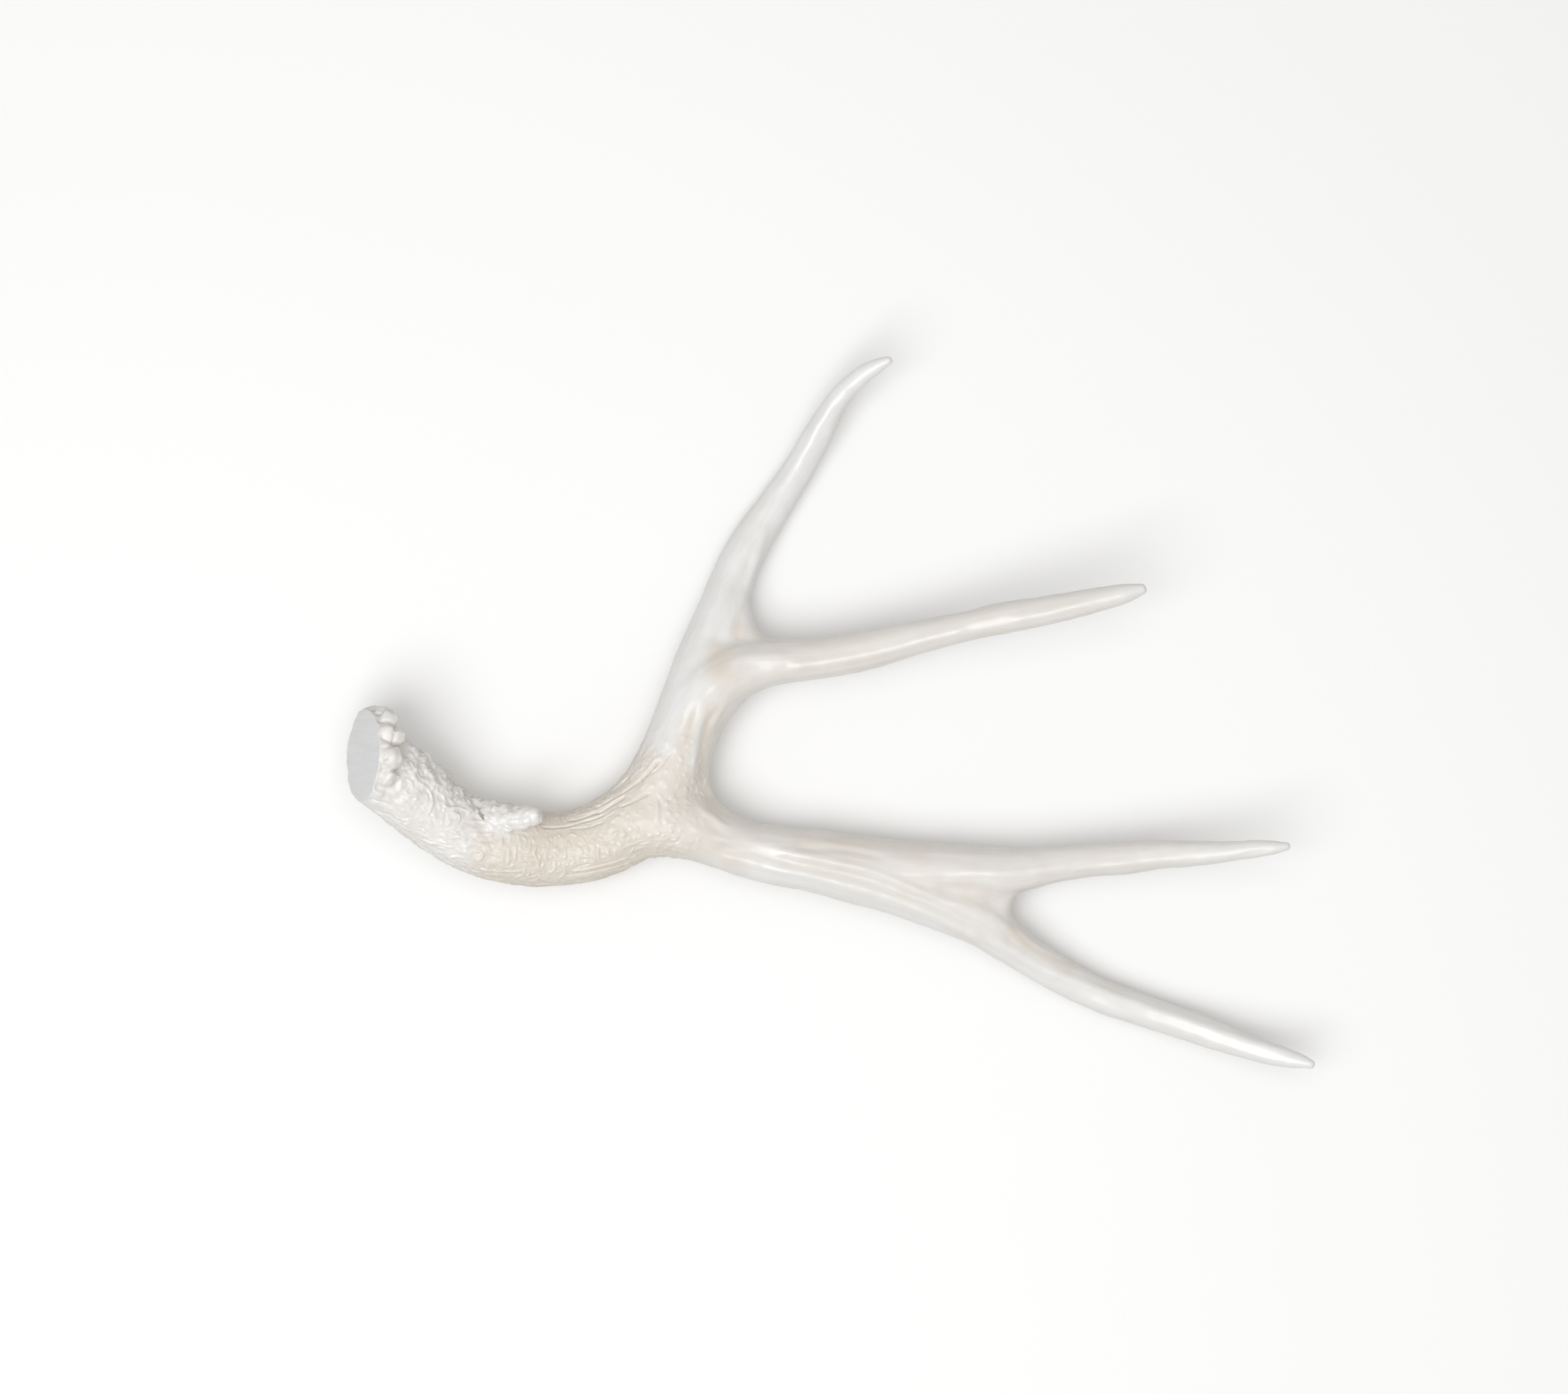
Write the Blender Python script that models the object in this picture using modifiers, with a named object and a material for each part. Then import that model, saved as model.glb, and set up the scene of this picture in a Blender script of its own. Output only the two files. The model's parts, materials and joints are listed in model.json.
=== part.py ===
"""A shed deer antler that lies on its outer side: a beam with its burr and brow tine, and two forks that fork again."""

import math

import bmesh
import bpy
from mathutils import Matrix, Vector

MM = 0.001

VOXEL = 1.4 * MM  # grid that the strands grow together on
BLEND_STEPS = 9  # smoothing steps that round the crotches
KEPT_FACES = 0.062  # share of the faces left after decimation
KERF = 0.3 * MM  # gap between two neighbouring pieces
KERF_MARGIN = 1.5  # radius of a cut over the radius of the branch there

# Routes of the strands that the antler grows from: x, y, z and radius in mm.
# X runs from the burr to the tips, and Z is up from the surface that it lies on.
BEAM = (
    (-240.0, -13.0, 50.0, 18.0),
    (-229.7, -20.9, 46.0, 18.5),
    (-216.5, -29.5, 41.0, 18.8),
    (-203.5, -40.2, 34.5, 18.6),
    (-190.0, -51.6, 29.0, 18.1),
    (-173.0, -61.3, 23.5, 18.4),
    (-152.0, -66.2, 19.5, 18.8),
    (-134.0, -67.4, 17.8, 18.0),
    (-118.0, -64.2, 18.7, 18.4),
    (-103.5, -57.8, 20.5, 19.2),
    (-91.0, -49.0, 22.0, 19.2),
)
BROW = (
    (-180.0, -54.0, 27.0, 10.0),
    (-170.0, -53.0, 31.5, 8.8),
    (-161.0, -52.0, 35.5, 7.4),
    (-152.5, -51.0, 39.5, 6.0),
    (-145.0, -50.2, 43.2, 5.0),
    (-141.0, -49.8, 45.2, 3.6),
)
CREST = (
    (-208.0, -27.0, 38.0, 9.0),
    (-200.0, -33.5, 35.0, 9.4),
    (-190.0, -42.5, 32.0, 9.4),
    (-180.0, -49.0, 30.5, 9.6),
    (-170.0, -53.5, 30.0, 8.0),
)
REAR_UPPER = (
    (-103.0, -57.5, 20.5, 18.0),
    (-87.8, -43.0, 22.0, 18.5),
    (-77.3, -24.5, 22.5, 17.9),
    (-71.2, -8.0, 22.3, 17.3),
    (-66.0, 8.0, 21.5, 16.6),
    (-60.8, 27.0, 18.5, 14.9),
    (-53.0, 47.0, 14.5, 13.8),
    (-49.2, 62.0, 12.0, 11.4),
    (-41.4, 80.0, 10.2, 10.4),
    (-27.4, 102.0, 9.2, 8.9),
    (-13.8, 123.0, 11.8, 7.7),
    (-3.4, 141.2, 18.5, 7.3),
    (4.6, 154.6, 26.0, 5.5),
    (14.0, 163.5, 33.0, 4.9),
    (22.8, 169.0, 38.5, 3.9),
    (29.8, 171.9, 42.5, 2.2),
)
REAR_LOWER = (
    (-79.0, -25.0, 22.5, 18.0),
    (-68.0, 0.0, 23.0, 16.8),
    (-54.5, 15.0, 24.5, 16.2),
    (-40.5, 21.8, 26.0, 13.4),
    (-25.0, 24.7, 27.5, 11.4),
    (-9.0, 25.9, 29.0, 10.3),
    (15.5, 30.2, 32.0, 10.2),
    (40.0, 36.0, 36.5, 8.7),
    (64.0, 41.5, 41.0, 7.7),
    (83.5, 45.9, 45.0, 8.0),
    (104.0, 49.5, 49.0, 7.2),
    (127.5, 54.3, 54.0, 6.2),
    (143.5, 58.0, 57.5, 4.7),
    (152.3, 60.3, 59.5, 2.6),
)
FRONT_UPPER = (
    (-103.0, -56.5, 20.5, 18.0),
    (-86.0, -51.8, 22.5, 19.4),
    (-67.5, -55.6, 22.5, 17.2),
    (-52.0, -62.8, 21.3, 14.6),
    (-35.0, -69.0, 20.0, 14.2),
    (-10.0, -72.5, 19.2, 15.6),
    (12.0, -75.4, 19.0, 15.4),
    (35.0, -77.4, 19.0, 14.8),
    (60.0, -78.2, 20.5, 13.4),
    (82.0, -78.3, 22.8, 12.4),
    (95.0, -77.2, 24.5, 10.7),
    (108.0, -74.8, 25.5, 9.5),
    (126.0, -72.7, 26.5, 8.5),
    (143.0, -71.4, 28.0, 8.4),
    (160.0, -69.7, 31.0, 7.3),
    (176.0, -68.9, 34.5, 6.6),
    (192.0, -67.9, 38.5, 5.4),
    (206.0, -66.3, 42.5, 4.4),
    (215.5, -65.4, 45.0, 3.5),
    (223.6, -64.7, 47.0, 2.2),
)
FRONT_LOWER = (
    (-35.0, -68.5, 20.0, 14.0),
    (-10.0, -73.0, 19.0, 15.2),
    (12.0, -78.4, 18.3, 15.8),
    (35.0, -85.2, 18.0, 15.2),
    (57.0, -94.2, 17.5, 14.4),
    (75.0, -102.6, 16.2, 13.4),
    (86.0, -111.6, 14.2, 10.8),
    (99.5, -121.0, 11.6, 9.5),
    (116.0, -130.8, 9.8, 9.2),
    (133.0, -139.3, 9.0, 8.8),
    (149.0, -145.1, 9.0, 8.5),
    (165.0, -150.7, 10.2, 8.0),
    (181.0, -155.9, 13.0, 7.8),
    (196.5, -161.5, 17.2, 7.1),
    (212.0, -166.2, 22.5, 6.3),
    (222.0, -168.8, 26.5, 5.0),
    (230.0, -170.6, 30.0, 3.8),
    (237.0, -172.3, 33.0, 2.4),
)
PALM = (
    (25.0, -80.0, 18.5, 14.5),
    (52.0, -85.5, 18.8, 13.0),
    (70.0, -90.0, 19.0, 11.5),
    (80.0, -94.0, 18.8, 7.5),
)
FORK = (
    (-94.0, -45.0, 22.0, 15.0),
    (-80.0, -38.0, 22.3, 12.8),
    (-70.0, -33.0, 22.3, 8.0),
)
REAR_PALM = (
    (-62.0, 18.0, 21.0, 13.0),
    (-51.0, 28.0, 20.5, 10.5),
    (-44.5, 34.5, 20.5, 7.5),
)
# The rounded edges of the crotches.
PALM_RIM = (
    (104.0, -78.0, 24.5, 5.5),
    (92.5, -82.5, 22.5, 6.2),
    (85.0, -88.5, 20.5, 6.6),
    (83.0, -96.0, 18.5, 6.6),
    (84.8, -104.0, 16.2, 6.4),
    (93.0, -111.0, 13.5, 6.0),
)
FORK_RIM = (
    (-50.0, 8.0, 23.5, 6.0),
    (-59.5, -7.0, 22.5, 6.8),
    (-63.0, -17.0, 22.3, 7.0),
    (-66.0, -29.0, 22.3, 7.2),
    (-64.2, -41.0, 22.2, 7.2),
    (-57.0, -50.8, 21.8, 6.8),
    (-46.0, -56.5, 21.0, 6.2),
)
REAR_RIM = (
    (-46.0, 66.0, 12.0, 5.5),
    (-45.5, 56.0, 14.0, 6.2),
    (-44.5, 47.0, 17.0, 6.6),
    (-41.4, 38.0, 20.5, 7.0),
    (-34.0, 31.5, 24.5, 6.8),
    (-22.0, 28.5, 27.5, 6.2),
)

STEMS = (BEAM, REAR_UPPER, REAR_LOWER, FRONT_UPPER, FRONT_LOWER, BROW, CREST)
WEBS = (PALM, FORK, REAR_PALM, PALM_RIM, FORK_RIM, REAR_RIM)

# The burr: a disc with a flat outer face and knobs round its rim.
BURR_CENTRE = (-227.2, -20.9, 45.8)
BURR_FACING = (-0.900, 0.050, 0.434)
BURR_RADIUS = 23.2
BURR_DEPTH = 8.0
# Angle from the top of the face towards the upper side in degrees, depth behind the face,
# and radius along and across the rim's depth in mm.
KNOBS = (
    (1, 5.0, 4.6, 4.0),
    (17, 7.0, 5.2, 4.6),
    (34, 7.6, 4.6, 4.4),
    (57, 5.2, 4.0, 4.4),
    (62, 10.8, 5.0, 3.7),
    (75, 3.6, 3.4, 3.4),
    (90, 6.4, 5.6, 6.0),
    (116, 6.2, 4.8, 5.2),
    (141, 3.4, 3.6, 4.0),
    (160, 4.0, 3.8, 4.0),
    (184, 5.0, 4.2, 4.0),
    (208, 6.0, 4.8, 4.8),
    (232, 6.4, 4.6, 4.2),
    (256, 5.6, 4.8, 5.2),
    (281, 7.2, 5.0, 4.6),
    (304, 6.0, 4.6, 5.2),
    (328, 7.4, 4.8, 4.4),
    (345, 5.2, 4.2, 4.6),
)
KNOB_RING = 20.4  # distance of the knobs' middles from the burr's middle, mm

# Where the branches part: the piece beyond the cut, its route and the route's point that is nearest.
CUTS = (
    ("rear_stem", REAR_UPPER, 3),
    ("front_stem", FRONT_UPPER, 4),
    ("rear_upper_tine", REAR_UPPER, 7),
    ("rear_lower_tine", REAR_LOWER, 5),
    ("front_upper_tine", FRONT_UPPER, 11),
    ("front_lower_tine", FRONT_LOWER, 7),
)
BROW_CUT_POINT = (-162.0, -51.0, 37.5)
BROW_CUT_FACING = (0.25, 0.52, 0.82)
BROW_CUT_RADIUS = 16.0

COLOURS = {
    "beam": (0.74, 0.69, 0.62),
    "brow_tine": (0.84, 0.82, 0.79),
    "rear_stem": (0.78, 0.74, 0.68),
    "front_stem": (0.80, 0.77, 0.72),
    "rear_upper_tine": (0.82, 0.79, 0.75),
    "rear_lower_tine": (0.83, 0.81, 0.77),
    "front_upper_tine": (0.83, 0.81, 0.78),
    "front_lower_tine": (0.82, 0.80, 0.77),
}
ROUGHNESS = 0.4


def clear_scene():
    for obj in list(bpy.data.objects):
        bpy.data.objects.remove(obj, do_unlink=True)


def add_collection(name):
    collection = bpy.data.collections.new(name)
    bpy.context.scene.collection.children.link(collection)
    return collection


def bone_material(node):
    material = bpy.data.materials.new(node)
    material.use_nodes = True
    shader = material.node_tree.nodes["Principled BSDF"]
    shader.inputs["Base Color"].default_value = (*COLOURS[node], 1.0)
    shader.inputs["Roughness"].default_value = ROUGHNESS
    shader.inputs["Metallic"].default_value = 0.0
    material.diffuse_color = (*COLOURS[node], 1.0)
    return material


def evaluated_mesh(obj):
    bpy.context.view_layer.update()
    graph = bpy.context.evaluated_depsgraph_get()
    return bpy.data.meshes.new_from_object(obj.evaluated_get(graph))


def helper_object(name, mesh, collection):
    obj = bpy.data.objects.new(name, mesh)
    obj.hide_render = True
    obj.display_type = "WIRE"
    collection.objects.link(obj)
    return obj


def strand_mesh(route, guides):
    """A tapering tube along a route, as a closed mesh."""
    curve = bpy.data.curves.new("strand", "CURVE")
    curve.dimensions = "3D"
    curve.bevel_depth = 1.0
    curve.bevel_resolution = 6
    curve.resolution_u = 6
    curve.use_fill_caps = True
    spline = curve.splines.new("BEZIER")
    spline.radius_interpolation = "CARDINAL"
    spline.bezier_points.add(len(route) - 1)
    for point, (x, y, z, radius) in zip(spline.bezier_points, route):
        point.co = (x * MM, y * MM, z * MM)
        point.radius = radius * MM
        point.handle_left_type = "AUTO"
        point.handle_right_type = "AUTO"
    obj = bpy.data.objects.new("strand", curve)
    guides.objects.link(obj)
    mesh = evaluated_mesh(obj)
    bpy.data.objects.remove(obj, do_unlink=True)
    return mesh


def burr_axes():
    """Directions across the burr: out of its face, to its top edge and to its upper side."""
    out = Vector(BURR_FACING).normalized()
    top = Vector((out.y, -out.x, 0.0)).normalized()
    return out, top, top.cross(out).normalized()


def add_burr(body):
    """Adds the burr's disc and the knobs round it to the body's bmesh."""
    out, top, side = burr_axes()
    centre = Vector(BURR_CENTRE) * MM
    turn = out.to_track_quat("Z", "Y").to_matrix().to_4x4()
    # The disc reaches past the face, where the face is cut flat afterwards.
    spare = BURR_DEPTH / 2
    disc_centre = centre + out * (spare - BURR_DEPTH) / 2 * MM
    bmesh.ops.create_cone(
        body,
        cap_ends=True,
        segments=48,
        radius1=(BURR_RADIUS - 3) * MM,
        radius2=(BURR_RADIUS + 1) * MM,
        depth=(BURR_DEPTH + spare) * MM,
        matrix=Matrix.Translation(disc_centre) @ turn,
    )
    for angle, depth, along, across in KNOBS:
        radians = math.radians(angle)
        ring = top * math.cos(radians) + side * math.sin(radians)
        place = centre + (ring * KNOB_RING - out * depth) * MM
        stretch = Matrix.Diagonal((across, across, along, 1.0))
        bmesh.ops.create_icosphere(
            body, subdivisions=3, radius=MM, matrix=Matrix.Translation(place) @ turn @ stretch
        )


def grown_body(guides):
    """The whole antler as one closed mesh: the strands grown together, smoothed and thinned."""
    body = bmesh.new()
    for route in STEMS + WEBS:
        body.from_mesh(strand_mesh(route, guides))
    bmesh.ops.remove_doubles(body, verts=body.verts, dist=0.001 * MM)
    add_burr(body)
    mesh = bpy.data.meshes.new("antler")
    body.to_mesh(mesh)
    body.free()
    obj = helper_object("antler", mesh, guides)
    remesh = obj.modifiers.new("grow together", "REMESH")
    remesh.mode = "VOXEL"
    remesh.voxel_size = VOXEL
    smooth = obj.modifiers.new("blend", "SMOOTH")
    smooth.factor = 0.5
    smooth.iterations = BLEND_STEPS
    decimate = obj.modifiers.new("thin", "DECIMATE")
    decimate.ratio = KEPT_FACES
    whole = evaluated_mesh(obj)
    bpy.data.objects.remove(obj, do_unlink=True)
    return whole


def disc_cutter(name, centre, facing, radius, depth, guides):
    mesh = bpy.data.meshes.new(name)
    disc = bmesh.new()
    turn = Vector(facing).to_track_quat("Z", "Y").to_matrix().to_4x4()
    bmesh.ops.create_cone(
        disc,
        cap_ends=True,
        segments=24,
        radius1=radius,
        radius2=radius,
        depth=depth,
        matrix=Matrix.Translation(centre) @ turn,
    )
    disc.to_mesh(mesh)
    disc.free()
    return helper_object(name, mesh, guides)


def add_cutters(guides):
    """A thick disc that flattens the burr's face, and a thin one where each branch parts."""
    out = Vector(BURR_FACING).normalized()
    thick = 3 * BURR_DEPTH * MM
    centre = Vector(BURR_CENTRE) * MM + out * thick / 2
    cutters = [disc_cutter("burr_cut", centre, out, 2 * BURR_RADIUS * MM, thick, guides)]
    for node, route, index in CUTS:
        point = Vector(route[index][:3]) * MM
        along = Vector(route[index + 1][:3]) - Vector(route[index - 1][:3])
        radius = route[index][3] * KERF_MARGIN * MM
        cutters.append(disc_cutter(node + "_cut", point, along, radius, KERF, guides))
    point = Vector(BROW_CUT_POINT) * MM
    radius = BROW_CUT_RADIUS * MM
    cutters.append(disc_cutter("brow_tine_cut", point, BROW_CUT_FACING, radius, KERF, guides))
    return cutters


def loose_parts(mesh):
    """The mesh's separate closed parts, each as its own bmesh."""
    body = bmesh.new()
    body.from_mesh(mesh)
    unseen = set(body.faces)
    parts = []
    while unseen:
        group = [unseen.pop()]
        for face in group:
            for edge in face.edges:
                fresh = [other for other in edge.link_faces if other in unseen]
                unseen.difference_update(fresh)
                group.extend(fresh)
        part = bmesh.new()
        copies = {}
        for face in group:
            for vertex in face.verts:
                if vertex not in copies:
                    copies[vertex] = part.verts.new(vertex.co)
            part.faces.new([copies[vertex] for vertex in face.verts])
        parts.append(part)
    body.free()
    return parts


def nearest_part(parts, point):
    """The part whose surface is nearest to a point in mm."""
    target = Vector(point[:3]) * MM
    return min(parts, key=lambda part: min((v.co - target).length for v in part.verts))


def add_node(name, part, collection):
    mesh = bpy.data.meshes.new(name)
    bmesh.ops.recalc_face_normals(part, faces=part.faces)
    part.to_mesh(mesh)
    part.free()
    mesh.shade_smooth()
    mesh.set_sharp_from_angle(angle=math.radians(50))
    mesh.materials.append(bone_material(name))
    obj = bpy.data.objects.new(name, mesh)
    collection.objects.link(obj)
    return obj


def main():
    clear_scene()
    parts_collection = add_collection("deer_antler")
    guides = add_collection("cutters")
    whole = helper_object("whole", grown_body(guides), guides)
    for cutter in add_cutters(guides):
        modifier = whole.modifiers.new(cutter.name, "BOOLEAN")
        modifier.operation = "DIFFERENCE"
        modifier.object = cutter
    parts = loose_parts(evaluated_mesh(whole))
    bpy.data.objects.remove(whole, do_unlink=True)
    # One point of each piece's route that lies well inside that piece.
    inside = {
        "beam": BEAM[4],
        "brow_tine": BROW[-1],
        "rear_stem": REAR_UPPER[5],
        "rear_upper_tine": REAR_UPPER[-2],
        "rear_lower_tine": REAR_LOWER[-2],
        "front_stem": FRONT_UPPER[6],
        "front_upper_tine": FRONT_UPPER[-2],
        "front_lower_tine": FRONT_LOWER[-2],
    }
    for name, point in inside.items():
        part = nearest_part(parts, point)
        parts.remove(part)
        add_node(name, part, parts_collection)


main()
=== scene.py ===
import json
import math
import random

import bpy
import numpy as np
from mathutils import Euler, Matrix, Vector, noise
from mathutils.bvhtree import BVHTree
from mathutils.kdtree import KDTree

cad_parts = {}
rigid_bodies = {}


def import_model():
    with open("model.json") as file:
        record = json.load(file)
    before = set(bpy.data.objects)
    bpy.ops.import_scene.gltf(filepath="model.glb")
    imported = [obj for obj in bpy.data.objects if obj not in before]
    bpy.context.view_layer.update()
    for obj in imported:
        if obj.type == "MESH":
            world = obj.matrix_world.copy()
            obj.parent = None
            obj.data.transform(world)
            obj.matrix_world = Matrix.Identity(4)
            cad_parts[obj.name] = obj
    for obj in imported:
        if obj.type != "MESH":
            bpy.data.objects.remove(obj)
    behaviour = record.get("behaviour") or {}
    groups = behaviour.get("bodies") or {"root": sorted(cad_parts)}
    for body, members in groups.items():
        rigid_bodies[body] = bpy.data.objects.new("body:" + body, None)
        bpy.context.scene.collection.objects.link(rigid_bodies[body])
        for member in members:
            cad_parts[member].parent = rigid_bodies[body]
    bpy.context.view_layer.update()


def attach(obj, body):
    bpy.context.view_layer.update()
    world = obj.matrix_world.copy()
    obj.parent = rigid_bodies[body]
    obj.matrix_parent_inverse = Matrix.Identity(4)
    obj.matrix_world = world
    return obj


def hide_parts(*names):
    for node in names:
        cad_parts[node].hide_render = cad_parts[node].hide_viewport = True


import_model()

mm = 0.001


# ---- small helpers

def deselectAll():
    if bpy.context.mode != "OBJECT":
        bpy.ops.object.mode_set(mode="OBJECT")
    bpy.ops.object.select_all(action="DESELECT")


def pick(*objects):
    deselectAll()
    for obj in objects:
        obj.select_set(True)
    bpy.context.view_layer.objects.active = objects[0]


def selectFaces(mesh, chosen):
    for items in (mesh.vertices, mesh.edges):
        items.foreach_set("select", np.zeros(len(items), bool))
    mesh.polygons.foreach_set("select", chosen)


def applyModifier(obj, kind, **settings):
    pick(obj)
    modifier = obj.modifiers.new(kind.lower(), kind)
    for name, value in settings.items():
        setattr(modifier, name, value)
    bpy.ops.object.modifier_apply(modifier=modifier.name)


def readPoints(mesh):
    points = np.empty(len(mesh.vertices) * 3, np.float32)
    mesh.vertices.foreach_get("co", points)
    return points.reshape(-1, 3).astype(np.float64)


def readNormals(mesh):
    normals = np.empty(len(mesh.vertices) * 3, np.float32)
    mesh.vertices.foreach_get("normal", normals)
    return normals.reshape(-1, 3).astype(np.float64)


def writePoints(mesh, points):
    mesh.vertices.foreach_set("co", points.astype(np.float32).ravel())
    mesh.update()


def smoothStep(low, high, value):
    t = np.clip((value - low) / (high - low), 0, 1)
    return t * t * (3 - 2 * t)


# ---- camera, light and floor

stageSetup = {
    "lens": 100,
    "sensor": 36,
    "centre": (-0.0226, 0.0076),
    "height": 2.162,
    "floorSize": 6,
    "floorColour": (0.97, 0.97, 0.967),
    "worldColour": (1.0, 0.99, 0.975),
    "worldStrength": 0.48,
    # name: place, size, watts, colour, whether it lights the surface and whether the gloss shows it
    "lamps": {
        "keyLamp": ((-0.65, -0.6, 1.9), 1.5, 18, (0.965, 0.985, 1.0), True, True),
        "topLamp": ((0.0, 0.0, 2.4), 2.0, 14.5, (1.0, 0.99, 0.98), True, False),
        "glintLamp": ((-0.8, -0.85, 1.3), 0.32, 13, (1.0, 1.0, 1.0), False, True),
    },
}


def setStage():
    s = stageSetup
    bpy.ops.object.camera_add(location=(*s["centre"], s["height"]), rotation=(0, 0, 0))
    camera = bpy.context.object
    camera.name = "viewCamera"
    camera.data.lens = s["lens"]
    camera.data.sensor_width = s["sensor"]
    bpy.context.scene.camera = camera
    for name, (place, size, watts, colour, lights, shows) in s["lamps"].items():
        aim = Vector((0, 0, 0.02)) - Vector(place)
        turn = aim.to_track_quat("-Z", "Y").to_euler()
        bpy.ops.object.light_add(type="AREA", location=place, rotation=turn)
        lamp = bpy.context.object
        lamp.name = name
        lamp.data.shape = "DISK"
        lamp.data.size = size
        lamp.data.energy = watts
        lamp.data.color = colour
        lamp.visible_diffuse = lights
        lamp.visible_glossy = shows
        lamp.visible_camera = False
    bpy.ops.mesh.primitive_plane_add(size=s["floorSize"], location=(0, 0, -0.0001))
    floor = bpy.context.object
    floor.name = "studioFloor"
    paint = bpy.data.materials.new("paperFloor")
    paint.use_nodes = True
    shader = paint.node_tree.nodes["Principled BSDF"]
    shader.inputs["Base Color"].default_value = (*s["floorColour"], 1)
    shader.inputs["Roughness"].default_value = 0.9
    shader.inputs["Specular IOR Level"].default_value = 0.1
    floor.data.materials.append(paint)
    floor.visible_diffuse = False  # the paper throws no light back, which keeps the sides' shading
    world = bpy.data.worlds.new("softRoom")
    bpy.context.scene.world = world
    world.use_nodes = True
    back = world.node_tree.nodes["Background"]
    back.inputs["Color"].default_value = (*s["worldColour"], 1)
    back.inputs["Strength"].default_value = s["worldStrength"]
    bpy.context.scene.view_settings.view_transform = "Standard"
    print("stage set")


setStage()


# ---- the grown form: strands that run from the burr to the tips, in mm: x, y, z, radius

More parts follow.
